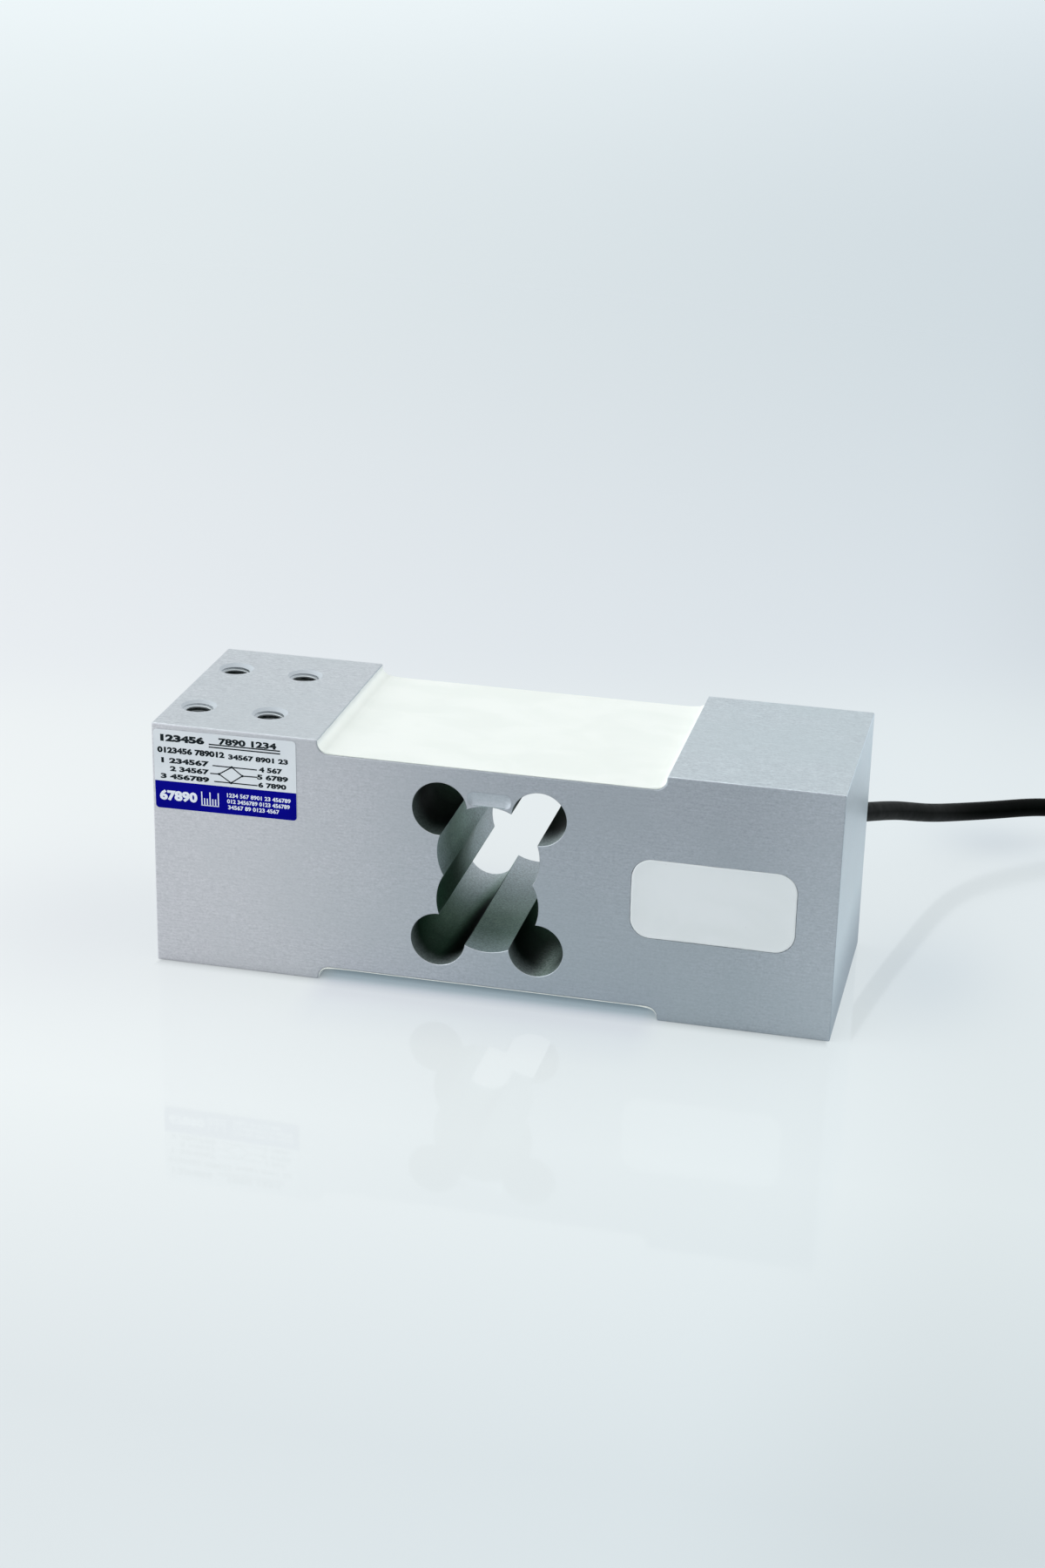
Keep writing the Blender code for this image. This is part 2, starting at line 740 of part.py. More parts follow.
def main():
    clear_scene()
    aluminium = material("aluminium", (0.62, 0.65, 0.68), 0.42, 1.0)
    silicone = material("white_silicone", (0.86, 0.87, 0.86), 0.5)
    label = material("label_film", (0.78, 0.80, 0.85), 0.45)
    jacket = material("cable_jacket", (0.02, 0.02, 0.022), 0.5)
    rubber = material("boot_rubber", (0.03, 0.03, 0.03), 0.7)
    nylon = material("tie_nylon", (0.04, 0.04, 0.04), 0.4)
    sleeve = material("sleeve_shrink", (0.025, 0.025, 0.03), 0.35)
    shield = material("tinned_copper", (0.72, 0.72, 0.70), 0.3, 1.0)
    carrier = material("gauge_foil", (0.62, 0.36, 0.12), 0.4)
    wire = material("enamelled_wire", (0.50, 0.20, 0.08), 0.35, 0.6)
    board = material("board_laminate", (0.05, 0.22, 0.10), 0.5)
    foil = material("resistor_foil", (0.45, 0.28, 0.12), 0.4)
    chip_body = material("resistor_body", (0.12, 0.20, 0.34), 0.45)
    cores = {
        name: material(f"core_{name}", colour, 0.45) for name, colour in CORE_COLOURS.items()
    }

    make_block(aluminium)
    make_coat("top_coating", silicone, True)
    make_coat("bottom_coating", silicone, False)
    make_potting(silicone)
    make_label(label)
    make_gauges(carrier, wire)
    make_pocket_parts(board, foil, chip_body, cores, nylon)
    make_boot(rubber)
    x, y = make_cable(jacket)
    make_coil(jacket)
    make_tie(nylon)
    make_far_end(x, y, cores, sleeve, shield)


main()
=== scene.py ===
"""Looks of a single-point strain gauge load cell: satin anodised aluminium block with merged cross
bores, white silicone over the gauges and in the wiring pocket, a film label, and a black six-core
cable that leaves the rear face and is coiled on the bench.

Metres, +Z up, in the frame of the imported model: origin at the centre of the block's underside,
+X along the block towards the cable end, +Y towards the rear face. Lengths in the tables below
are millimetres.
"""

import math

import bmesh
import bpy
import numpy as np
from mathutils import Matrix, Vector, noise


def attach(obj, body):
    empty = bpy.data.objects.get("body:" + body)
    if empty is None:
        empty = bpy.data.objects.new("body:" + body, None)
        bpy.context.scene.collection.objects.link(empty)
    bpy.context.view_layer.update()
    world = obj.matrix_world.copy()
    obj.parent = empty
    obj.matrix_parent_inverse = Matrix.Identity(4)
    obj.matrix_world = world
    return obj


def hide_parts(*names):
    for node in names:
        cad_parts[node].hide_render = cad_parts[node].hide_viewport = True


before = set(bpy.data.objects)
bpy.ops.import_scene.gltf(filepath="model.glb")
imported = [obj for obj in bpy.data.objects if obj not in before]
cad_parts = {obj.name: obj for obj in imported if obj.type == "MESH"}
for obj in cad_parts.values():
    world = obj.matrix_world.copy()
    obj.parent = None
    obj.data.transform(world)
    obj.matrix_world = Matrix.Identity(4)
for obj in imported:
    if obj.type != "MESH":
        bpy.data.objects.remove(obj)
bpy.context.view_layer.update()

MM = 0.001
scene = bpy.context.scene

# ---------------------------------------------------------------- sizes shared with the CAD model
LENGTH, WIDTH, HEIGHT = 175.0, 60.0, 65.5
EDGE = 0.35
RECESS_HALF, RECESS_DEPTH, RECESS_FILLET = 44.1, 3.6, 3.0
TROUGH_HALF_X, TROUGH_HALF_Y, TROUGH_DEPTH = 40.9, 26.0, 1.1
PATTERN_Z = 32.85
HINGE_R, HINGE_X, HINGE_DZ = 7.0, 12.63, 17.75
MAIN_R, MAIN_DZ = 13.1, 6.55
BORE_EDGE = 0.12
SCOOP_R, SCOOP_DEPTH, SCOOP_HALF_X, SCOOP_Z = 4.4, 0.46, 5.9, 54.3
POCKET = (36.2, 77.4, 22.25, 43.4)
POCKET_R, POCKET_DEPTH = 5.1, 16.0
DUCT_X, DUCT_Y, DUCT_R = 38.5, -20.0, 1.5
HOLE_X, HOLE_SPACING, HOLE_Y = 70.6, 19.0, 15.0
SINK_R, DRILL_R, THREAD_MINOR, THREAD_MAJOR, PITCH = 4.6, 3.2, 3.33, 4.0, 1.25
CABLE_R = 2.6
EXIT = (81.5, 30.0, 34.2)
EXIT_DIR = (0.28, 1.0, -0.07)
COIL_X, COIL_Y, COIL_R = 190.0, 87.6, 31.0
ROUTE = (
    (83.7, 37.6, 33.55),
    (87.1, 48.5, 30.6),
    (92.6, 64.5, 25.2),
    (99.2, 80.0, 19.3),
    (108.4, 98.0, 13.5),
    (119.0, 108.6, 11.3),
    (132.0, 117.3, 10.0),
    (146.0, 122.9, 7.2),
    (160.0, 125.8, 4.2),
)
LABEL_W, LABEL_H, LABEL_R = 37.4, 21.3, 1.0
LABEL_X, LABEL_Z, LABEL_TURN = -68.2, 53.6, math.radians(0.7)
TIE_ANGLE = math.radians(205)


# ---------------------------------------------------------------- camera
camera_data = bpy.data.cameras.new("camera")
camera_data.sensor_width = 36.0
camera_data.lens = 63.52
camera_data.clip_start, camera_data.clip_end = 0.02, 30.0
camera = bpy.data.objects.new("camera", camera_data)
scene.collection.objects.link(camera)
right = Vector((0.97384, 0.22604, 0.02307)).normalized()
forward = Vector((-0.20186, 0.90732, -0.36882)).normalized()
upward = right.cross(forward).normalized()
right = forward.cross(upward)
camera.matrix_world = Matrix(
    (
        (right.x, upward.x, -forward.x, 0.14489),
        (right.y, upward.y, -forward.y, -0.64393),
        (right.z, upward.z, -forward.z, 0.30920),
        (0, 0, 0, 1),
    )
)
scene.camera = camera
scene.view_settings.view_transform = "Standard"


# ---------------------------------------------------------------- small geometry kit
def finish_mesh(name, bm, materials, sharp=30.0, recalc=True):
    if recalc:
        bmesh.ops.recalc_face_normals(bm, faces=bm.faces)
    mesh = bpy.data.meshes.new(name)
    bm.to_mesh(mesh)
    bm.free()
    mesh.shade_smooth()
    mesh.set_sharp_from_angle(angle=math.radians(sharp))
    made = bpy.data.objects.new(name, mesh)
    scene.collection.objects.link(made)
    for material in materials:
        made.data.materials.append(material)
    return made


def loft(bm, rings, caps=(True, True), index=0):
    made = [[bm.verts.new(Vector(p) * MM) for p in ring] for ring in rings]
    count = len(made[0])
    faces = []
    for low, high in zip(made[:-1], made[1:]):
        for i in range(count):
            j = (i + 1) % count
            faces.append(bm.faces.new((low[i], low[j], high[j], high[i])))
    if caps[0]:
        faces.append(bm.faces.new(list(reversed(made[0]))))
    if caps[1]:
        faces.append(bm.faces.new(made[-1]))
    for face in faces:
        face.material_index = index
    return made


def axis_frame(axis):
    axis = Vector(axis).normalized()
    side = axis.cross(Vector((0, 0, 1)))
    if side.length < 0.2:
        side = axis.cross(Vector((0, 1, 0)))
    side.normalize()
    return axis, side, axis.cross(side)


def turned(bm, profile, origin, axis, sides, index=0, closed=False):
    """Solid of revolution from (distance along the axis, radius) pairs."""
    axis, side, other = axis_frame(axis)
    rings = []
    for along, radius in profile:
        centre = Vector(origin) + axis * along
        if radius == 0:
            rings.append([bm.verts.new(centre * MM)])
            continue
        rings.append(
            [
                bm.verts.new(
                    (
                        centre
                        + side * radius * math.cos(2 * math.pi * i / sides)
                        + other * radius * math.sin(2 * math.pi * i / sides)
                    )
                    * MM
                )
                for i in range(sides)
            ]
        )
    pairs = list(zip(rings[:-1], rings[1:]))
    if closed:
        pairs.append((rings[-1], rings[0]))
    for low, high in pairs:
        for i in range(sides):
            j = (i + 1) % sides
            if len(low) == 1:
                face = bm.faces.new((low[0], high[i], high[j]))
            elif len(high) == 1:
                face = bm.faces.new((low[i], high[0], low[j]))
            else:
                face = bm.faces.new((low[i], high[i], high[j], low[j]))
            face.material_index = index
    if not closed:
        for ring, turn in ((rings[0], False), (rings[-1], True)):
            if len(ring) > 1:
                face = bm.faces.new(list(reversed(ring)) if turn else ring)
                face.material_index = index


def rounded(x0, x1, z0, z1, radius, steps):
    points = []
    for cx, cz, start in (
        (x1 - radius, z0 + radius, -90),
        (x1 - radius, z1 - radius, 0),
        (x0 + radius, z1 - radius, 90),
        (x0 + radius, z0 + radius, 180),
    ):
        for i in range(steps + 1):
            turn = math.radians(start + 90 * i / steps)
            points.append((cx + radius * math.cos(turn), cz + radius * math.sin(turn)))
    return points


def applied(target, tools):
    """Cuts the tools out of the target with exact Booleans and keeps the resulting mesh."""
    for tool in tools:
        modifier = target.modifiers.new(tool.name, "BOOLEAN")
        modifier.operation = "DIFFERENCE"
        modifier.solver = "EXACT"
        modifier.object = tool
    graph = bpy.context.evaluated_depsgraph_get()
    mesh = bpy.data.meshes.new_from_object(target.evaluated_get(graph), depsgraph=graph)
    target.modifiers.clear()
    old = target.data
    target.data = mesh
    bpy.data.meshes.remove(old)
    for tool in tools:
        data = tool.data
        bpy.data.objects.remove(tool, do_unlink=True)
        bpy.data.meshes.remove(data)


def smooth_curve(points, spacing, tangents=(None, None)):
    """Points a given spacing apart on a cubic spline through the given ones (chord-length knots)."""
    p = np.asarray(points, float)
    t = np.concatenate([[0], np.cumsum(np.linalg.norm(np.diff(p, axis=0), axis=1))])
    n = len(p)
    h = np.diff(t)
    a = np.zeros((n, n))
    b = np.zeros((n, 3))
    for i in range(1, n - 1):
        a[i, i - 1], a[i, i], a[i, i + 1] = h[i - 1], 2 * (h[i - 1] + h[i]), h[i]
        b[i] = 6 * ((p[i + 1] - p[i]) / h[i] - (p[i] - p[i - 1]) / h[i - 1])
    for row, tangent in ((0, tangents[0]), (n - 1, tangents[1])):
        if tangent is None:
            a[row, row] = 1
            continue
        unit = np.asarray(tangent, float) / np.linalg.norm(tangent)
        if row == 0:
            a[0, 0], a[0, 1] = 2 * h[0], h[0]
            b[0] = 6 * ((p[1] - p[0]) / h[0] - unit)
        else:
            a[row, row], a[row, row - 1] = 2 * h[-1], h[-1]
            b[row] = 6 * (unit - (p[-1] - p[-2]) / h[-1])
    m = np.linalg.solve(a, b)
    steps = max(4, int(round(t[-1] / spacing)))
    out = []
    for s in np.linspace(0, t[-1], steps + 1):
        i = min(n - 2, max(0, int(np.searchsorted(t, s, side="right") - 1)))
        u, v = t[i + 1] - s, s - t[i]
        out.append(
            m[i] * u**3 / (6 * h[i])
            + m[i + 1] * v**3 / (6 * h[i])
            + (p[i] / h[i] - m[i] * h[i] / 6) * u
            + (p[i + 1] / h[i] - m[i + 1] * h[i] / 6) * v
        )
    return np.array(out)


def respaced(line, count):
    along = np.concatenate([[0], np.cumsum(np.linalg.norm(np.diff(line, axis=0), axis=1))])
    at = np.linspace(0, along[-1], count)
    return np.stack([np.interp(at, along, line[:, k]) for k in range(3)], axis=1)


def along_exit(distance):
    return tuple(Vector(EXIT) + Vector(EXIT_DIR).normalized() * distance)


def ease(x):
    x = min(1.0, max(0.0, x))
    return x * x * (3 - 2 * x)


def bezier_tube(name, points, tangents, radius, material, resolution_u=5, sides=8):
    """One open Bezier spline with aligned handles, bevelled to a round tube. Millimetres."""
    curve = bpy.data.curves.new(name, "CURVE")
    curve.dimensions = "3D"
    curve.bevel_depth = radius * MM
    curve.bevel_resolution = sides
    curve.use_fill_caps = True
    curve.resolution_u = resolution_u
    curve.twist_mode = "MINIMUM"
    spline = curve.splines.new("BEZIER")
    spline.bezier_points.add(len(points) - 1)
    for i, knot in enumerate(spline.bezier_points):
        before = np.linalg.norm(points[i] - points[i - 1]) if i else 0.0
        after = np.linalg.norm(points[i + 1] - points[i]) if i + 1 < len(points) else 0.0
        unit = tangents[i] / np.linalg.norm(tangents[i])
        knot.handle_left_type = knot.handle_right_type = "FREE"
        knot.co = Vector(points[i]) * MM
        knot.handle_left = Vector(points[i] - unit * (before or after) / 3) * MM
        knot.handle_right = Vector(points[i] + unit * (after or before) / 3) * MM
    made = bpy.data.objects.new(name, curve)
    scene.collection.objects.link(made)
    made.data.materials.append(material)
    return made


# ---------------------------------------------------------------- materials
class Nodes:
    """Short hand for building a material's node tree."""

    def __init__(self, name):
        self.material = bpy.data.materials.new(name)
        self.material.use_nodes = True
        self.tree = self.material.node_tree
        self.shader = self.tree.nodes["Principled BSDF"]
        self.at = self.tree.nodes.new("ShaderNodeTexCoord").outputs["Object"]

    def new(self, kind, **values):
        node = self.tree.nodes.new(kind)
        for key, value in values.items():
            setattr(node, key, value)
        return node

    def link(self, source, target):
        self.tree.links.new(source, target)

    def put(self, socket, value):
        if hasattr(value, "is_linked") or isinstance(value, bpy.types.NodeSocket):
            self.link(value, socket)
        else:
            socket.default_value = value

    def math(self, operation, a, b=0.0, clamp=False):
        node = self.new("ShaderNodeMath", operation=operation, use_clamp=clamp)
        self.put(node.inputs[0], a)
        self.put(node.inputs[1], b)
        return node.outputs[0]

    def scaled(self, factors, source=None, offset=(0, 0, 0)):
        node = self.new("ShaderNodeMapping")
        self.link(source or self.at, node.inputs["Vector"])
        node.inputs["Scale"].default_value = factors
        node.inputs["Location"].default_value = offset
        return node.outputs["Vector"]

    def noise(self, where, scale=1.0, detail=2.0, rough=0.5, distortion=0.0):
        node = self.new("ShaderNodeTexNoise")
        self.link(where, node.inputs["Vector"])
        node.inputs["Scale"].default_value = scale
        node.inputs["Detail"].default_value = detail
        node.inputs["Roughness"].default_value = rough
        node.inputs["Distortion"].default_value = distortion
        return node.outputs["Fac"]

    def cells(self, where, scale=1.0, feature="F1"):
        node = self.new("ShaderNodeTexVoronoi", feature=feature)
        self.link(where, node.inputs["Vector"])
        node.inputs["Scale"].default_value = scale
        return node.outputs["Distance"]

    def span(self, value, low, high, to_low, to_high, smooth=False):
        node = self.new("ShaderNodeMapRange")
        if smooth:
            node.interpolation_type = "SMOOTHSTEP"
        self.put(node.inputs["Value"], value)
        node.inputs["From Min"].default_value = low
        node.inputs["From Max"].default_value = high
        node.inputs["To Min"].default_value = to_low
        node.inputs["To Max"].default_value = to_high
        return node.outputs["Result"]

    def mix(self, factor, a, b, blend="MIX"):
        node = self.new("ShaderNodeMix", data_type="RGBA", blend_type=blend)
        self.put(node.inputs[0], factor)
        self.put(node.inputs[6], (*a, 1.0) if isinstance(a, tuple) else a)
        self.put(node.inputs[7], (*b, 1.0) if isinstance(b, tuple) else b)
        return node.outputs[2]

    def bump(self, height, strength, distance, normal=None):
        node = self.new("ShaderNodeBump")
        self.link(height, node.inputs["Height"])
        node.inputs["Strength"].default_value = strength
        node.inputs["Distance"].default_value = distance
        if normal is not None:
            self.link(normal, node.inputs["Normal"])
        return node.outputs["Normal"]

    def split(self, vector):
        node = self.new("ShaderNodeSeparateXYZ")
        self.link(vector, node.inputs[0])
        return node.outputs

    def normal_parts(self):
        """Absolute parts of the surface normal in the object's own axes."""
        geometry = self.new("ShaderNodeNewGeometry")
        turn = self.new(
            "ShaderNodeVectorTransform",
            vector_type="NORMAL",
            convert_from="WORLD",
            convert_to="OBJECT",
        )
        self.link(geometry.outputs["True Normal"], turn.inputs[0])
        parts = self.split(turn.outputs[0])
        return [self.math("ABSOLUTE", part) for part in parts]

    def ramp(self, value, stops):
        """Colour by value, through (value, colour) stops in rising order."""
        low, high = stops[0][0], stops[-1][0]
        node = self.new("ShaderNodeValToRGB")
        self.link(self.span(value, low, high, 0.0, 1.0), node.inputs["Fac"])
        elements = node.color_ramp.elements
        while len(elements) < len(stops):
            elements.new(0.5)
        for element, (at, colour) in zip(elements, stops):
            element.position = (at - low) / (high - low)
            element.color = (*colour, 1.0)
        return node.outputs["Color"]

    def surface(self, colour=None, roughness=None, normal=None, metallic=0.0, **plain):
        if colour is not None:
            self.put(
                self.shader.inputs["Base Color"],
                (*colour, 1.0) if isinstance(colour, tuple) else colour,
            )
        if roughness is not None:
            self.put(self.shader.inputs["Roughness"], roughness)
        if normal is not None:
            self.link(normal, self.shader.inputs["Normal"])
        self.shader.inputs["Metallic"].default_value = metallic
        for key, value in plain.items():
            self.shader.inputs[key.replace("_", " ")].default_value = value
        return self.material


def aluminium_satin():
    """Clear-anodised milled and brushed faces: fine grain along the length, faint mottling."""
    n = Nodes("aluminium_satin")
    nx, ny, nz = n.normal_parts()
    # the end faces carry their grain across the block, all others along it
    along = n.scaled((560.0, 1700.0, 1700.0))
    across = n.scaled((1500.0, 330.0, 1400.0), offset=(3.1, 1.7, 0.4))
    is_end = n.span(nx, 0.6, 0.8, 0.0, 1.0)
    pick = n.new("ShaderNodeMix", data_type="VECTOR")
    n.link(is_end, pick.inputs[0])
    n.link(along, pick.inputs[4])
    n.link(across, pick.inputs[5])
    where = pick.outputs[1]
    grain = n.noise(where, 1.0, 3.0, 0.62)
    lines = n.noise(n.scaled((110.0, 2000.0, 2000.0)), 1.0, 2.0, 0.5)
    speck = n.noise(n.scaled((1500.0, 2300.0, 2300.0)), 1.0, 2.0, 0.6)
    mottle = n.noise(n.scaled((30.0, 40.0, 40.0)), 1.0, 4.0, 0.6)
    tone = n.math("ADD", n.math("MULTIPLY", grain, 0.45), n.math("MULTIPLY", speck, 0.40))
    tone = n.math("ADD", tone, n.math("MULTIPLY", lines, 0.15))
    tone = n.span(tone, 0.34, 0.66, 0.0, 1.0)
    calm = n.math("MULTIPLY", is_end, 0.65)
    tone = n.math("ADD", n.math("MULTIPLY", tone, n.math("SUBTRACT", 1.0, calm)), n.math("MULTIPLY", calm, 0.5))
    colour = n.mix(tone, (0.480, 0.520, 0.556), (0.690, 0.738, 0.776))
    colour = n.mix(
        n.span(mottle, 0.40, 0.62, 0.0, 0.40, True), colour, (0.565, 0.622, 0.652)
    )
    # painted shade: the two milled sides are painted darker than the ground pads, least so towards their ends
    x, y, z = n.split(n.at)
    is_side = n.span(ny, 0.6, 0.8, 0.0, 1.0)
    # painted shade in the scoop above the upper bores
    scoop_painted_shade = n.math("MULTIPLY", n.span(y, -0.02996, -0.02985, 0.0, 1.0), n.span(z, 0.0518, 0.0522, 0.0, 1.0))
    scoop_painted_shade = n.math("MULTIPLY", scoop_painted_shade, n.span(y, -0.001, 0.001, 1.0, 0.0))
    left = n.span(x, 0.022, -0.080, 0.0, 1.0, True)
    side = n.mix(n.span(z, 0.004, 0.056, 0.0, 1.0), (0.668, 0.690, 0.712), (0.650, 0.645, 0.668))
    side = n.mix(left, side, (0.985, 0.918, 0.915))
    side = n.mix(scoop_painted_shade, side, (0.80, 0.80, 0.82))
    side = n.mix(n.span(x, 0.060, 0.090, 0.0, 0.30, True), side, (1.0, 0.98, 1.0))
    # painted light and shade on the end faces: darker towards the bottom, lighter towards the top
    end = n.mix(n.span(z, 0.001, 0.025, 0.0, 1.0, True), (0.54, 0.60, 0.66), (1.10, 1.15, 1.17))
    end = n.mix(n.span(z, 0.030, 0.062, 0.0, 1.0), end, (1.25, 1.29, 1.31))
    other_end_painted_shade = n.mix(n.span(z, 0.0, 0.040, 0.0, 1.0, True), (0.60, 0.63, 0.66), (0.80, 0.82, 0.83))
    end = n.mix(n.span(x, -0.04, 0.04, 0.0, 1.0), other_end_painted_shade, end)
    # painted light on the top faces: a slight change of tone from left to right
    top = n.mix(n.span(x, -0.02, 0.06, 0.0, 1.0), (1.035, 1.010, 0.990), (1.000, 1.020, 1.008))
    shade = n.mix(is_side, n.mix(is_end, top, end), side)
    colour = n.mix(1.0, colour, shade, "MULTIPLY")
    # a few dark pits and inclusions
    pits = n.cells(n.scaled((1.0, 1.0, 1.0)), 62.0)
    pit = n.span(pits, 0.018, 0.030, 1.0, 0.0, True)
    chosen = n.noise(n.scaled((1.0, 1.0, 1.0)), 140.0, 0.0)
    pit = n.math("MULTIPLY", pit, n.span(chosen, 0.60, 0.64, 0.0, 1.0, True))
    colour = n.mix(pit, colour, (0.10, 0.12, 0.12))
    rough = n.span(n.math("ADD", grain, n.math("MULTIPLY", mottle, 0.5)), 0.5, 1.0, 0.42, 0.52)
    rough = n.math("SUBTRACT", rough, n.math("MULTIPLY", is_end, 0.07))
    height = n.math("ADD", n.math("MULTIPLY", grain, 0.6), n.math("MULTIPLY", speck, 0.4))
    height = n.math("SUBTRACT", height, n.math("MULTIPLY", pit, 1.5))
    normal = n.bump(height, 0.35, 0.00002)
    n.link(n.span(is_end, 0.0, 1.0, 0.35, 0.08), normal.node.inputs["Strength"])
    return n.surface(colour, rough, normal, metallic=1.0)


def aluminium_bored():
    """Inside of the cross bores: painted shade deep inside, most of all in the four small
    ones, painted light near both mouths, with feed marks that run round the bore and a coarse grain."""
    n = Nodes("aluminium_bored")
    x, y, z = n.split(n.at)
    feed = n.noise(n.scaled((260.0, 2600.0, 260.0)), 1.0, 2.0, 0.6)
    cloud = n.noise(n.scaled((90.0, 60.0, 90.0)), 1.0, 4.0, 0.65)
    speck = n.noise(n.scaled((1900.0, 1900.0, 1900.0)), 1.0, 2.0, 0.7)
    tone = n.math("ADD", n.math("MULTIPLY", speck, 0.75), n.math("MULTIPLY", cloud, 0.25))
    tone = n.span(tone, 0.36, 0.64, 0.0, 1.0)
    off_x = n.math("SUBTRACT", n.math("ABSOLUTE", x), HINGE_X * MM)
    off_z = n.math("ABSOLUTE", n.math("SUBTRACT", z, PATTERN_Z * MM))
    off_z = n.math("SUBTRACT", off_z, HINGE_DZ * MM)
    radius = n.math("SQRT", n.math("ADD", n.math("MULTIPLY", off_x, off_x), n.math("MULTIPLY", off_z, off_z)))
    small = n.span(radius, (HINGE_R + 0.05) * MM, (HINGE_R + 0.30) * MM, 1.0, 0.0)
    painted_light_tone = n.mix(tone, (0.300, 0.360, 0.365), (0.580, 0.650, 0.660))
    mid = n.mix(tone, (0.125, 0.180, 0.155), (0.365, 0.450, 0.415))
    dark = n.mix(tone, (0.001, 0.006, 0.003), (0.009, 0.034, 0.018))
    grain = n.mix(tone, (0.76, 0.76, 0.76), (1.22, 1.22, 1.22))
    far = n.math("ADD", y, n.math("MULTIPLY", n.math("SUBTRACT", cloud, 0.5), 0.008))
    left = n.span(x, -0.0005, 0.0005, 1.0, 0.0)
    low = n.span(z, (PATTERN_Z - 3) * MM, (PATTERN_Z + 3) * MM, 1.0, 0.0)
    # painted shade and light along the big bores: darkest a little behind the front mouth, lightest past the middle
    wide = n.ramp(far, (
        (-0.031, (0.24, 0.30, 0.31)),
        (-0.018, (0.18, 0.255, 0.225)),
        (-0.010, (0.30, 0.41, 0.36)),
        (-0.002, (0.52, 0.64, 0.60)),
        (0.010, (0.70, 0.78, 0.80)),
        (0.022, (0.54, 0.60, 0.63)),
        (0.031, (0.42, 0.46, 0.49)),
    ))
    wide = n.mix(1.0, wide, grain, "MULTIPLY")
    # painted shade: the waist on the left is as dark as the small bores
    waist = n.math("MULTIPLY", n.span(x, -0.0125, -0.0095, 1.0, 0.0, True), n.span(z, 0.030, 0.036, 1.0, 0.0, True))
    waist = n.math("MULTIPLY", waist, n.span(far, -0.014, 0.012, 0.98, 0.0, True))
    wide = n.mix(waist, wide, n.mix(tone, (0.002, 0.018, 0.008), (0.018, 0.055, 0.030)))
    # painted shade: in the small ones it reaches further back, least of all in the lower left one
    side = n.span(x, (-0.20 * HINGE_R - HINGE_X) * MM, (0.52 * HINGE_R - HINGE_X) * MM, 0.0, 1.0, True)
    side = n.math("MULTIPLY", side, left)
    back = n.math("SUBTRACT", far, n.math("MULTIPLY", side, 0.014))
    back = n.math("SUBTRACT", back, n.math("MULTIPLY", n.math("SUBTRACT", 1.0, n.math("MULTIPLY", left, low)), 0.014))
    narrow = n.ramp(back, (
        (-0.033, (0.002, 0.006, 0.004)),
        (-0.023, (0.008, 0.024, 0.014)),
        (-0.015, (0.042, 0.095, 0.060)),
        (-0.008, (0.12, 0.21, 0.150)),
        (-0.002, (0.21, 0.32, 0.25)),
        (0.005, (0.32, 0.43, 0.38)),
        (0.015, (0.48, 0.56, 0.56)),
        (0.031, (0.47, 0.51, 0.54)),
    ))
    narrow = n.mix(1.0, narrow, grain, "MULTIPLY")
    # painted shade: near black on the inner side of the left small bores, towards the front
    narrow = n.mix(n.math("MULTIPLY", side, n.span(back, 0.006, -0.012, 0.0, 1.0, True)), narrow, (0.001, 0.002, 0.001))
    # painted light at the front mouths of the small bores, most in the lower ones
    mouth = n.mix(n.span(z, PATTERN_Z * MM - 0.022, PATTERN_Z * MM + 0.012, 0.42, 0.16), dark, painted_light_tone)
    narrow = n.mix(n.span(far, -0.0215, -0.0315, 0.0, 1.0, True), narrow, mouth)
    # painted light: the right pair are lighter at the front, with a soft painted highlight low in the lower one
    right = n.span(x, 0.004, 0.010, 0.0, 1.0)
    upper = n.math("SUBTRACT", 1.0, low)
    lit = n.math("MULTIPLY", n.math("MULTIPLY", right, upper), n.span(far, -0.017, -0.0315, 0.0, 0.75, True))
    narrow = n.mix(lit, narrow, painted_light_tone)
    turn = n.math("DIVIDE", n.math("SUBTRACT", x, (HINGE_X + 0.30 * HINGE_R) * MM), 0.36 * HINGE_R * MM)
    turn = n.math("EXPONENT", n.math("MULTIPLY", n.math("MULTIPLY", turn, turn), -1.0))
    streak = n.math("MULTIPLY", n.math("MULTIPLY", turn, right), low)
    streak = n.math("MULTIPLY", streak, n.span(far, -0.004, -0.020, 0.0, 0.85, True))
    narrow = n.mix(streak, narrow, mid)
    colour = n.mix(small, wide, narrow)
    height = n.math("ADD", n.math("MULTIPLY", feed, 0.3), n.math("MULTIPLY", speck, 0.7))
    sheen = n.math("ADD", n.span(y, 0.010, 0.030, 0.0, 0.40, True), n.span(y, -0.022, -0.031, 0.0, 0.15, True))
    made = n.surface(
        colour,
        n.span(cloud, 0.3, 0.7, 0.45, 0.60),
        n.bump(height, 0.40, 0.00003),
        Specular_IOR_Level=0.02,
    )
    n.link(sheen, n.shader.inputs["Metallic"])
    return made


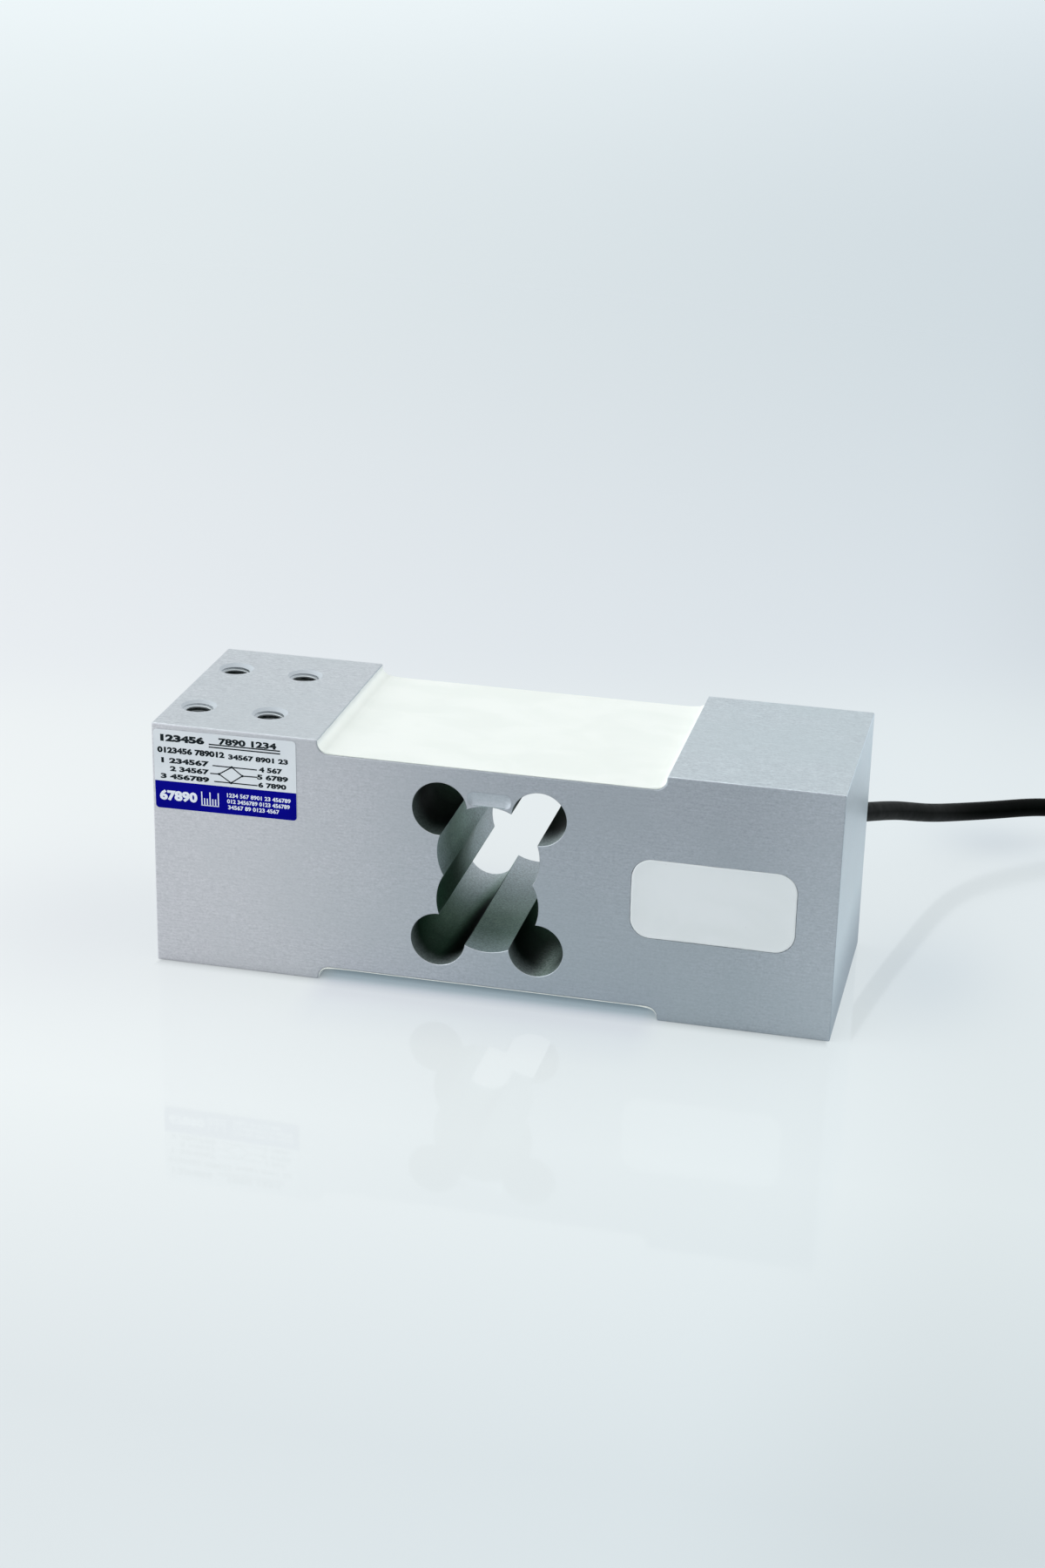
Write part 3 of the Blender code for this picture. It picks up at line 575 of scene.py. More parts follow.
def aluminium_threaded():
    """Tapped holes: bright cut crests with painted shade deeper in, dark roots and bottoms."""
    n = Nodes("aluminium_threaded")
    stain = n.noise(n.scaled((600.0, 600.0, 900.0)), 1.0, 3.0, 0.6)
    rings = n.noise(n.scaled((300.0, 300.0, 5200.0)), 1.0, 1.0, 0.5)
    x, y, z = n.split(n.at)
    off_x = n.math("SUBTRACT", n.math("ABSOLUTE", x), HOLE_X * MM)
    off_x = n.math("SUBTRACT", n.math("ABSOLUTE", off_x), 0.5 * HOLE_SPACING * MM)
    off_y = n.math("SUBTRACT", n.math("ABSOLUTE", y), HOLE_Y * MM)
    radius = n.math("SQRT", n.math("ADD", n.math("MULTIPLY", off_x, off_x), n.math("MULTIPLY", off_y, off_y)))
    edge = n.span(radius, (THREAD_MINOR + 0.02) * MM, (THREAD_MINOR + 0.34) * MM, 1.0, 0.0, True)
    depth = n.math("SUBTRACT", 0.5 * HEIGHT * MM, n.math("ABSOLUTE", n.math("SUBTRACT", z, 0.5 * HEIGHT * MM)))
    # painted shade: the bright crests darken deeper into the hole
    edge = n.math("MULTIPLY", edge, n.span(depth, 0.002, 0.012, 1.0, 0.25, True))
    colour = n.mix(
        n.span(stain, 0.35, 0.68, 0.0, 1.0), (0.10, 0.12, 0.12), (0.26, 0.29, 0.29)
    )
    colour = n.mix(edge, colour, (0.66, 0.70, 0.72))
    sink = n.span(radius, (THREAD_MAJOR + 0.01) * MM, (THREAD_MAJOR + 0.10) * MM, 0.0, 1.0, True)
    first = n.math("MULTIPLY", n.span(depth, 0.0010, 0.0018, 1.0, 0.0, True), n.span(radius, (THREAD_MINOR + 0.10) * MM, (THREAD_MINOR + 0.30) * MM, 0.0, 1.0, True))
    sink = n.math("MAXIMUM", sink, first)
    colour = n.mix(sink, colour, (0.50, 0.54, 0.57))
    rough = n.math("ADD", n.span(stain, 0.3, 0.7, 0.30, 0.45), n.math("MULTIPLY", sink, 0.30))
    made = n.surface(colour, rough, n.bump(rings, 0.2, 0.00002))
    n.link(n.span(sink, 0.0, 1.0, 0.9, 0.05), n.shader.inputs["Metallic"])
    return made


def silicone(name, thin_at_walls, shade=(1.0, 1.0, 1.0)):
    """Brushed-on white silicone: soft waves, a few tiny bubbles and dust specks. Where it thins
    out up the recess walls, the aluminium shows through as grey."""
    n = Nodes(name)
    wave = n.noise(n.scaled((60.0, 90.0, 60.0)), 1.0, 3.0, 0.5, 0.6)
    fine = n.noise(n.scaled((900.0, 900.0, 900.0)), 1.0, 2.0, 0.5)
    dust = n.cells(n.at, 330.0)
    dot = n.span(dust, 0.03, 0.07, 1.0, 0.0, True)
    chosen = n.noise(n.at, 520.0, 0.0)
    dot = n.math("MULTIPLY", dot, n.span(chosen, 0.66, 0.70, 0.0, 1.0, True))
    colour = n.mix(
        n.span(wave, 0.35, 0.65, 0.0, 1.0, True),
        tuple(s * c for s, c in zip(shade, (0.835, 0.865, 0.825))),
        tuple(s * c for s, c in zip(shade, (0.870, 0.895, 0.858))),
    )
    if thin_at_walls:
        x, y, z = n.split(n.at)
        away = n.math("ABSOLUTE", n.math("SUBTRACT", z, 0.5 * HEIGHT * MM))
        away = n.math("ADD", away, n.math("MULTIPLY", n.math("SUBTRACT", wave, 0.5), 0.0007))
        thin = n.span(away, 0.5 * HEIGHT * MM - 0.0024, 0.5 * HEIGHT * MM - 0.0003, 0.0, 1.0, True)
        colour = n.mix(n.math("MULTIPLY", thin, 0.8), colour, (0.76, 0.80, 0.81))
        # painted glow: the coat's steep walls glow faintly, standing in for light that seeps through the coat
        nx = n.normal_parts()[0]
        painted_glow = n.span(n.math("ABSOLUTE", nx), 0.25, 0.95, 0.0, 1.0, True)
        painted_glow = n.math("MULTIPLY", painted_glow, n.span(thin, 0.2, 1.0, 1.0, 0.35, True))
        n.link(n.mix(painted_glow, (0.0, 0.0, 0.0), (0.17, 0.18, 0.175)), n.shader.inputs["Emission Color"])
        n.shader.inputs["Emission Strength"].default_value = 1.0
    colour = n.mix(n.math("MULTIPLY", dot, 0.22), colour, (0.42, 0.44, 0.43))
    height = n.math("ADD", wave, n.math("MULTIPLY", fine, 0.03))
    return n.surface(
        colour,
        n.span(wave, 0.3, 0.7, 0.44, 0.56),
        n.bump(height, 0.35, 0.0002),
        Specular_IOR_Level=0.35,
        Subsurface_Weight=0.12,
        Subsurface_Radius=(0.0012, 0.0011, 0.0010),
        Subsurface_Scale=1.0,
    )


def film(name, low, high, rough, shine=0.4):
    """Printed label film: faint orange peel and a slight tone change."""
    n = Nodes(name)
    peel = n.noise(n.scaled((700.0, 700.0, 700.0)), 1.0, 2.0, 0.5)
    cloud = n.noise(n.scaled((90.0, 90.0, 90.0)), 1.0, 3.0, 0.55)
    colour = n.mix(n.span(cloud, 0.35, 0.65, 0.0, 1.0, True), low, high)
    return n.surface(
        colour,
        n.span(peel, 0.3, 0.7, rough, rough + 0.08),
        n.bump(peel, 0.12, 0.00002),
        Specular_IOR_Level=shine,
    )


def extruded(name, low, high, rough, ripple=0.10, shine=0.5):
    """Extruded cable jacket or core: fine die lines along the run and soft waves."""
    n = Nodes(name)
    wave = n.noise(n.scaled((380.0, 380.0, 380.0)), 1.0, 3.0, 0.55)
    fine = n.noise(n.scaled((2600.0, 2600.0, 2600.0)), 1.0, 2.0, 0.6)
    dust = n.noise(n.scaled((1500.0, 1500.0, 1500.0)), 1.0, 3.0, 0.75)
    colour = n.mix(n.span(wave, 0.35, 0.65, 0.0, 1.0, True), low, high)
    colour = n.mix(
        n.span(dust, 0.66, 0.78, 0.0, 0.30, True),
        colour,
        tuple(min(1.0, c * 2.2 + min(0.03, c)) for c in high),
    )
    height = n.math("ADD", n.math("MULTIPLY", wave, 0.8), n.math("MULTIPLY", fine, 0.2))
    return n.surface(
        colour,
        n.span(wave, 0.3, 0.7, rough, rough + 0.12),
        n.bump(height, ripple, 0.00008),
        Specular_IOR_Level=shine,
    )


def moulded(name, low, high, rough, grain=1400.0, strength=0.2):
    """Moulded rubber or nylon: fine matte texture."""
    n = Nodes(name)
    skin = n.noise(n.scaled((grain, grain, grain)), 1.0, 2.0, 0.6)
    cloud = n.noise(n.scaled((200.0, 200.0, 200.0)), 1.0, 3.0, 0.6)
    colour = n.mix(n.span(cloud, 0.35, 0.65, 0.0, 1.0, True), low, high)
    return n.surface(
        colour,
        n.span(skin, 0.3, 0.7, rough, rough + 0.15),
        n.bump(skin, strength, 0.00004),
    )


def metal(name, low, high, rough, grain=1800.0):
    n = Nodes(name)
    skin = n.noise(n.scaled((grain, grain, grain)), 1.0, 3.0, 0.6)
    colour = n.mix(n.span(skin, 0.35, 0.65, 0.0, 1.0), low, high)
    return n.surface(
        colour,
        n.span(skin, 0.3, 0.7, rough, rough + 0.15),
        n.bump(skin, 0.2, 0.00003),
        metallic=1.0,
    )


def laminate():
    """Circuit board: green solder mask with the woven glass showing faintly."""
    n = Nodes("board_green")
    wave = n.new("ShaderNodeTexWave", wave_type="BANDS", bands_direction="X")
    n.link(n.at, wave.inputs["Vector"])
    wave.inputs["Scale"].default_value = 900.0
    other = n.new("ShaderNodeTexWave", wave_type="BANDS", bands_direction="Z")
    n.link(n.at, other.inputs["Vector"])
    other.inputs["Scale"].default_value = 900.0
    weave = n.math("MULTIPLY", wave.outputs["Fac"], other.outputs["Fac"])
    cloud = n.noise(n.scaled((300.0, 300.0, 300.0)), 1.0, 3.0, 0.6)
    tone = n.math("ADD", n.math("MULTIPLY", weave, 0.5), n.math("MULTIPLY", cloud, 0.5))
    colour = n.mix(tone, (0.020, 0.120, 0.050), (0.045, 0.230, 0.100))
    return n.surface(colour, n.span(cloud, 0.3, 0.7, 0.30, 0.45), n.bump(weave, 0.1, 0.00002))


def foil_film(name, base, dark):
    """Amber carrier film with a fine etched meander."""
    n = Nodes(name)
    wave = n.new("ShaderNodeTexWave", wave_type="BANDS", bands_direction="Y")
    n.link(n.at, wave.inputs["Vector"])
    wave.inputs["Scale"].default_value = 1500.0
    cloud = n.noise(n.scaled((400.0, 400.0, 400.0)), 1.0, 2.0, 0.6)
    line = n.span(wave.outputs["Fac"], 0.45, 0.55, 0.0, 1.0)
    colour = n.mix(line, n.mix(cloud, base, tuple(c * 1.25 for c in base)), dark)
    return n.surface(colour, n.span(cloud, 0.3, 0.7, 0.25, 0.40), n.bump(line, 0.15, 0.00001))


M = {
    "aluminium": aluminium_satin(),
    "bored": aluminium_bored(),
    "threaded": aluminium_threaded(),
    # painted shade: the pocket fill is the coat's silicone, coloured darker and a little bluer as it faces the front
    "silicone": silicone("silicone_white", False, (0.835, 0.840, 0.890)),
    "silicone_coat": silicone("silicone_coat", True, (0.905, 0.905, 0.888)),
    "label_white": film("label_white", (0.668, 0.702, 0.738), (0.706, 0.738, 0.770), 0.45, 0.3),
    "label_blue": film("label_blue", (0.0012, 0.0014, 0.200), (0.0020, 0.0022, 0.240), 0.55, 0.02),
    "ink": film("label_ink", (0.006, 0.010, 0.012), (0.012, 0.018, 0.022), 0.55, 0.05),
    "reverse": film("label_reverse", (0.700, 0.740, 0.830), (0.760, 0.795, 0.870), 0.45, 0.2),
    "jacket": extruded("jacket_black", (0.0006, 0.0012, 0.0009), (0.0014, 0.0024, 0.0018), 0.40, 0.12, 0.03),
    "boot": moulded("boot_black", (0.016, 0.016, 0.017), (0.026, 0.026, 0.027), 0.55),
    "nylon": moulded("nylon_black", (0.020, 0.020, 0.021), (0.032, 0.032, 0.034), 0.34, 900.0, 0.12),
    "sleeve": moulded("sleeve_black", (0.014, 0.014, 0.016), (0.024, 0.024, 0.028), 0.30, 700.0, 0.15),
    "tinned": metal("tinned_strands", (0.60, 0.60, 0.585), (0.78, 0.78, 0.76), 0.22),
    "gauge": foil_film("gauge_film", (0.52, 0.27, 0.07), (0.62, 0.55, 0.42)),
    "resistor_film": foil_film("resistor_film", (0.30, 0.16, 0.05), (0.58, 0.50, 0.38)),
    "enamel": metal("enamel_copper", (0.36, 0.13, 0.05), (0.52, 0.22, 0.09), 0.22),
    "board": laminate(),
    "chip": moulded("chip_body", (0.055, 0.090, 0.170), (0.080, 0.125, 0.230), 0.35, 1100.0, 0.1),
    "core_red": extruded("core_red", (0.42, 0.018, 0.016), (0.52, 0.030, 0.024), 0.34),
    "core_black": extruded("core_black", (0.013, 0.013, 0.014), (0.022, 0.022, 0.023), 0.34),
    "core_green": extruded("core_green", (0.018, 0.210, 0.050), (0.030, 0.280, 0.075), 0.34),
    "core_white": extruded("core_white", (0.72, 0.72, 0.69), (0.80, 0.80, 0.77), 0.34),
    "core_blue": extruded("core_blue", (0.018, 0.070, 0.36), (0.030, 0.100, 0.46), 0.34),
    "core_yellow": extruded("core_yellow", (0.66, 0.50, 0.030), (0.76, 0.60, 0.050), 0.34),
}


def piece(obj, *nodes, slot=None):
    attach(obj, "root")
    if nodes:
        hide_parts(*nodes)
    return obj


# ---------------------------------------------------------------- cable
SLEEVE_Y = 27.3  # where the shrink sleeve starts, on the tail


def coil_lanes():
    """Radius and height of each turn: four rows in the grooves of the one below."""
    lanes = []
    offsets = (7.95, 2.65, -2.65, -7.95), (-5.3, 0.0, 5.3)
    for row in range(4):
        for offset in offsets[row % 2]:
            lanes.append((COIL_R + offset, 2.74 + 4.6 * row, row))
    return lanes


def coil_line(step=3.0):
    """Wound clockwise from the side nearest the rear, outside to inside and back, row on row."""
    lanes = coil_lanes()
    turns = 13.25
    window = 55.0 / 360.0
    out = []
    count = int(turns * 360 / step)
    for k in range(count + 1):
        t = turns * k / count
        n = min(int(t), len(lanes) - 1)
        part = t - n
        radius, height, row = lanes[n]
        lift = 0.62 * row
        shift = 0.0
        if part > 1 - window and n + 1 < len(lanes):
            s = (part - 1 + window) / window
            r2, z2, row2 = lanes[n + 1]
            bump = math.sin(math.pi * ease(s)) ** 0.7 if 0 < s < 1 else 0.0
            if row2 == row:
                radius += (r2 - radius) * ease(s)
                height += lift * bump
            else:
                inner = r2 < COIL_R
                bulge = math.sin(math.pi * s) * (-1.5 if inner else 2.3)
                radius += (r2 - radius) * ease(s * 1.5 - 0.5) + bulge
                height += (z2 - height) * ease(s * 1.5) + 0.62 * row2 * bump * (1 - s)
        # small unevenness of a coil wound by hand
        wobble = noise.noise(Vector((t * 3.1, n * 1.7, 0.3))) * 0.16
        angle = math.radians(90 - 360 * t)
        near_tie = abs((math.degrees(angle) - 205 + 180) % 360 - 180)
        raised = 0.86 * (1 - ease((near_tie - 5) / 38))
        out.append(
            (
                COIL_X + (radius + wobble) * math.cos(angle),
                COIL_Y + (radius + wobble) * math.sin(angle),
                height + raised,
            )
        )
    return np.array(out)


def make_lead():
    run = smooth_curve(
        [along_exit(-6.0), EXIT, *ROUTE, (169.4, COIL_Y + COIL_R + 7.95, 2.92), (190.0, 126.55, 2.74)],
        0.5,
        (EXIT_DIR, (1, 0, 0)),
    )
    coil = coil_line()
    x = COIL_X + COIL_R + 5.3
    tail = smooth_curve(
        [
            tuple(coil[-1]),
            (x, COIL_Y - 12.0, 16.95),
            (x, COIL_Y - 25.0, 17.2),
            (x, COIL_Y - 33.0, 13.6),
            (x, COIL_Y - 43.0, 7.8),
            (x, COIL_Y - 52.0, 3.9),
            (x, COIL_Y - 60.0, 3.15),
            (x, 21.0, 3.15),
        ],
        0.5,
        (tuple(coil[-1] - coil[-2]), (0, -1, 0)),
    )
    whole = np.concatenate([run, coil[1:], tail[1:]])
    along = np.concatenate([[0], np.cumsum(np.linalg.norm(np.diff(whole, axis=0), axis=1))])
    knots = list(np.linspace(0, along[len(run) - 1], 27))
    end_run, end_coil = along[len(run) - 1], along[len(run) + len(coil) - 2]
    knots += list(np.linspace(end_run, end_coil, int(13.25 * 20) + 1))[1:]
    knots += list(np.linspace(end_coil, along[-1], 15))[1:]
    at = lambda s: np.array([np.interp(s, along, whole[:, k]) for k in range(3)])
    points = [at(s) for s in knots]
    tangents = [at(min(s + 0.8, along[-1])) - at(max(s - 0.8, 0.0)) for s in knots]
    tangents[0] = np.array(EXIT_DIR)
    tangents[-1] = np.array((0.0, -1.0, 0.0))
    lead = bezier_tube("lead", points, tangents, CABLE_R, M["jacket"], 5, 8)
    length = sum(float(np.linalg.norm(b - a)) for a, b in zip(whole[:-1], whole[1:])) * MM
    return lead, length, x


lead, lead_length, TAIL_X = make_lead()
piece(lead, "cable_jacket", "cable_coil", "cable_tail", slot="cable_jacket")


# ---------------------------------------------------------------- block
def block_outline(steps=14):
    half, inner, deep, r = LENGTH / 2, RECESS_HALF, RECESS_DEPTH, RECESS_FILLET
    fillet = [math.radians(90 * i / steps) for i in range(steps + 1)]
    right_bottom = [(inner - r + r * math.cos(a), deep - r + r * math.sin(a)) for a in fillet]
    bottom = [(-half, 0), (-inner, 0)]
    bottom += [(-x, z) for x, z in right_bottom]
    bottom += [p for p in reversed(right_bottom)] + [(inner, 0), (half, 0)]
    top = [(x, HEIGHT - z) for x, z in reversed(bottom)]
    return bottom + top


def crossing(a, b, pick):
    dx, dz = b[0] - a[0], b[1] - a[1]
    gap = math.hypot(dx, dz)
    along = (gap * gap + a[2] ** 2 - b[2] ** 2) / (2 * gap)
    up = math.sqrt(a[2] ** 2 - along * along)
    px, pz = a[0] + along * dx / gap, a[1] + along * dz / gap
    return (px - pick * up * dz / gap, pz + pick * up * dx / gap)


def arc(circle, start, end, steps):
    a = math.atan2(start[1] - circle[1], start[0] - circle[0])
    b = math.atan2(end[1] - circle[1], end[0] - circle[0])
    if b <= a:
        b += 2 * math.pi
    return [
        (
            circle[0] + circle[2] * math.cos(a + (b - a) * i / steps),
            circle[1] + circle[2] * math.sin(a + (b - a) * i / steps),
        )
        for i in range(steps)
    ]


def bore_outline(grow, small=64, side=14, end=20):
    up = (0, PATTERN_Z + MAIN_DZ, MAIN_R + grow)
    down = (0, PATTERN_Z - MAIN_DZ, MAIN_R + grow)
    r, x = HINGE_R + grow, HINGE_X
    z1, z0 = PATTERN_Z + HINGE_DZ, PATTERN_Z - HINGE_DZ
    tr, tl, bl, br = (x, z1, r), (-x, z1, r), (-x, z0, r), (x, z0, r)
    meets = lambda a, b: (crossing(a, b, 1), crossing(a, b, -1))
    left, right_ = sorted(meets(up, down))
    upper = lambda pair: max(pair, key=lambda p: p[1])
    lower = lambda pair: min(pair, key=lambda p: p[1])
    tr_in, tr_out = upper(meets(up, tr)), lower(meets(up, tr))
    tl_in, tl_out = upper(meets(up, tl)), lower(meets(up, tl))
    bl_in, bl_out = lower(meets(down, bl)), upper(meets(down, bl))
    br_in, br_out = lower(meets(down, br)), upper(meets(down, br))
    return (
        arc(up, right_, tr_out, side)
        + arc(tr, tr_out, tr_in, small)
        + arc(up, tr_in, tl_in, end)
        + arc(tl, tl_in, tl_out, small)
        + arc(up, tl_out, left, side)
        + arc(down, left, bl_out, side)
        + arc(bl, bl_out, bl_in, small)
        + arc(down, bl_in, br_in, end)
        + arc(br, br_in, br_out, small)
        + arc(down, br_out, right_, side)
    )


def thread_tool(bm, place, deep, first, columns=44):
    """Helical cutter of an M8 x 1.25 internal thread. place(r, turn, depth) gives a point, with
    turn clockwise from the hole's mouth; first is the depth of a groove's middle at turn 0."""
    minor, major = THREAD_MINOR, THREAD_MAJOR
    profile = ((-0.46, minor), (-0.08, major), (0.08, major), (0.46, minor))
    base = first
    while base > -1.2:
        base -= PITCH
    base -= PITCH
    rows = 4 * int(math.ceil((deep - base) / PITCH))
    grid = []
    for i in range(columns):
        column = []
        for m in range(rows + (5 if i == 0 else 1)):
            offset, radius = profile[m % 4]
            depth = base + offset + PITCH * (m // 4) + PITCH * i / columns
            column.append(bm.verts.new(Vector(place(radius, 2 * math.pi * i / columns, depth)) * MM))
        grid.append(column)
    for i in range(columns):
        for m in range(rows):
            if i + 1 < columns:
                quad = (grid[i][m], grid[i + 1][m], grid[i + 1][m + 1], grid[i][m + 1])
            else:
                quad = (grid[i][m], grid[0][m + 4], grid[0][m + 5], grid[i][m + 1])
            bm.faces.new(quad)
    low = [grid[i][0] for i in range(columns)] + [grid[0][k] for k in (4, 3, 2, 1)]
    high = [grid[i][rows] for i in range(columns)] + [grid[0][rows + k] for k in (4, 3, 2, 1)]
    for ring in (low, high):
        depth = sum((v.co for v in ring), Vector()) / len(ring)
        axis_point = Vector(place(0.0, 0.0, 0.0)) * MM
        centre = bm.verts.new((axis_point.x, axis_point.y, depth.z))
        for a, b in zip(ring, ring[1:] + ring[:1]):
            bm.faces.new((a, b, centre))


def make_block():
    bm = bmesh.new()
    outline = block_outline()
    loft(bm, [[(x, y, z) for x, z in outline] for y in (-WIDTH / 2, WIDTH / 2)])
    bmesh.ops.recalc_face_normals(bm, faces=bm.faces)
    corners = [e for e in bm.edges if e.calc_face_angle(0) > math.radians(40)]
    bmesh.ops.bevel(
        bm, geom=corners, offset=EDGE * MM, segments=2, affect="EDGES", profile=0.5
    )
    block = finish_mesh("block", bm, [M["aluminium"], M["bored"], M["threaded"]])

    half = WIDTH / 2
    tools = []
    bm = bmesh.new()
    loft(
        bm,
        [
            [(x, y, z) for x, z in bore_outline(grow)]
            for y, grow in (
                (-half - 0.5, BORE_EDGE + 0.5),
                (-half + BORE_EDGE, 0),
                (half - BORE_EDGE, 0),
                (half + 0.5, BORE_EDGE + 0.5),
            )
        ],
    )
    tools.append(finish_mesh("tool_bores", bm, []))

    bm = bmesh.new()
    shape = rounded(*POCKET, POCKET_R, 16)
    loft(bm, [[(x, y, z) for x, z in shape] for y in (-half - 1, -half + POCKET_DEPTH)])
    tools.append(finish_mesh("tool_pocket", bm, []))

    for name, low, high in (
        ("tool_top_trough", HEIGHT - RECESS_DEPTH - TROUGH_DEPTH, HEIGHT - RECESS_DEPTH + 0.2),
        ("tool_bottom_trough", RECESS_DEPTH - 0.2, RECESS_DEPTH + TROUGH_DEPTH),
    ):
        bm = bmesh.new()
        shape = rounded(-TROUGH_HALF_X, TROUGH_HALF_X, -TROUGH_HALF_Y, TROUGH_HALF_Y, 4, 10)
        loft(bm, [[(x, y, z) for x, y in shape] for z in (low, high)])
        tools.append(finish_mesh(name, bm, []))

    for name, low, high in (
        ("tool_top_duct", POCKET[3] - 3.5, HEIGHT - RECESS_DEPTH - TROUGH_DEPTH + 0.5),
        ("tool_bottom_duct", RECESS_DEPTH + TROUGH_DEPTH - 0.5, POCKET[2] + 3.5),
    ):
        bm = bmesh.new()
        turned(bm, [(0, DUCT_R), (high - low, DUCT_R)], (DUCT_X, DUCT_Y, low), (0, 0, 1), 32)
        tools.append(finish_mesh(name, bm, []))

    drills, threads = bmesh.new(), bmesh.new()
    for side, top, deep, threaded in ((-1, HEIGHT, 22.0, 18.0), (1, 0.0, 16.0, 12.5)):
        down = -1 if side < 0 else 1
        for i, dx in enumerate((-HOLE_SPACING / 2, HOLE_SPACING / 2)):
            for j, y in enumerate((-HOLE_Y, HOLE_Y)):
                cx = side * HOLE_X + dx
                turned(
                    drills,
                    [
                        (-0.5, SINK_R + 0.5),
                        (SINK_R - DRILL_R, DRILL_R),
                        (deep - 1.9, DRILL_R),
                        (deep, 0),
                    ],
                    (cx, y, top),
                    (0, 0, down),
                    72,
                )
                # top holes seen from above and bottom holes seen from below turn the same way
                place = lambda r, turn, depth, cx=cx, y=y: (
                    cx + r * math.cos(turn),
                    y + down * r * math.sin(turn),
                    top + down * depth,
                )
                first = 1.12 - 0.75 * PITCH + 0.07 * ((2 * i + j * 3) % 4 - 1.5)
                thread_tool(threads, place, threaded, first)
    tools.append(finish_mesh("tool_drills", drills, []))
    tools.append(finish_mesh("tool_threads", threads, []))

    bm = bmesh.new()
    turned(bm, [(-48.0, CABLE_R + 0.3), (3.0, CABLE_R + 0.3)], EXIT, EXIT_DIR, 40)
    tools.append(finish_mesh("tool_cable_bore", bm, []))
    bm = bmesh.new()
    turned(bm, [(-7.5, 4.0), (4.0, 4.0)], EXIT, EXIT_DIR, 56)
    tools.append(finish_mesh("tool_boot_seat", bm, []))

    bm = bmesh.new()
    # rounded at both ends, as a ball cutter leaves it
    ends = [(1.9 * (1 - math.cos(a)), SCOOP_R - 0.9 * (1 - math.sin(a))) for a in np.linspace(0, math.pi / 2, 9)]
    profile = ends + [(2 * SCOOP_HALF_X - along, radius) for along, radius in reversed(ends)]
    turned(
        bm,
        [(float(along), float(radius)) for along, radius in profile],
        (-SCOOP_HALF_X, -half - SCOOP_R + SCOOP_DEPTH, SCOOP_Z),
        (1, 0, 0),
        160,
    )
    tools.append(finish_mesh("tool_scoop", bm, []))

    applied(block, tools)
    mesh = block.data

    # surface kinds, by where each face lies
    count = len(mesh.polygons)
    centre = np.empty(count * 3)
    mesh.polygons.foreach_get("center", centre)
    centre = centre.reshape(-1, 3) / MM
    normal = np.empty(count * 3)
    mesh.polygons.foreach_get("normal", normal)
    normal = normal.reshape(-1, 3)
    kind = np.zeros(count, np.int32)
    inside = np.zeros(count, bool)
    for cx, cz, r in (
        (0, PATTERN_Z + MAIN_DZ, MAIN_R),
        (0, PATTERN_Z - MAIN_DZ, MAIN_R),
        *((sx * HINGE_X, PATTERN_Z + sz * HINGE_DZ, HINGE_R) for sx in (-1, 1) for sz in (-1, 1)),
    ):
        inside |= np.hypot(centre[:, 0] - cx, centre[:, 2] - cz) < r + 0.05
    kind[inside & (np.abs(normal[:, 1]) < 0.95)] = 1
    for side, near_top in ((-1, True), (1, False)):
        for dx in (-HOLE_SPACING / 2, HOLE_SPACING / 2):
            for y in (-HOLE_Y, HOLE_Y):
                out = np.hypot(centre[:, 0] - side * HOLE_X - dx, centre[:, 1] - y)
                near = out < SINK_R + 0.1
                deep = HEIGHT - centre[:, 2] if near_top else centre[:, 2]
                kind[near & (deep > 0.01) & (deep < 23) & (np.abs(normal[:, 2]) < 0.99)] = 2
    mesh.polygons.foreach_set("material_index", kind)
    if len(mesh.materials) != 3:
        mesh.materials.clear()
        for name in ("aluminium", "bored", "threaded"):
            mesh.materials.append(M[name])
    mesh.shade_smooth()
    mesh.set_sharp_from_angle(angle=math.radians(18))
    return block


block = make_block()
piece(block, "spring_body", slot="aluminium")


# ---------------------------------------------------------------- silicone
def coat_path():
    """Half of the recess's section, from its middle out: (x, z, normal x, normal z, climb), where
    climb goes from 0 on the floor to 1 at the coat's upper edge on the end wall."""
    floor, start = HEIGHT - RECESS_DEPTH, RECESS_HALF - RECESS_FILLET
    centre_z = floor + RECESS_FILLET
    path = [(start * (1 - (1 - i / 46) ** 1.4), floor, 0.0, 1.0, 0.0) for i in range(46)]
    for i in range(19):
        a = math.radians(-90 + 5 * i)
        path.append(
            (
                start + RECESS_FILLET * math.cos(a),
                centre_z + RECESS_FILLET * math.sin(a),
                -math.cos(a),
                -math.sin(a),
                0.94 * i / 18,
            )
        )
    for up, climb in ((0.10, 0.96), (0.22, 0.98)):
        path.append((RECESS_HALF, centre_z + up, -1.0, 0.0, climb))
    top = HEIGHT - EDGE - centre_z
    path.append((RECESS_HALF + 0.16, centre_z + top + 0.10, -0.6, 0.8, 1.0))
    return path


def coat_thickness(x, y, climb, seed):
    start = RECESS_HALF - RECESS_FILLET
    wave = 0.045 * noise.noise(Vector((x * 0.06, y * 0.09, seed)))
    wave += 0.02 * noise.noise(Vector((x * 0.22, y * 0.25, seed + 4)))
    flat = 0.25 + wave + 0.05 * math.exp(-(((30.0 - abs(y)) / 0.7) ** 2))
    # meniscus: thicker in the corner, thinning out up the wall
    flat += 0.24 * math.exp(-(start - min(abs(x), start)) / 1.3)
    thin = 0.035 + 0.02 * noise.noise(Vector((x * 0.3, y * 0.35, seed + 9)))
    return thin + (flat - thin) * (1 - ease(climb)) if climb else flat


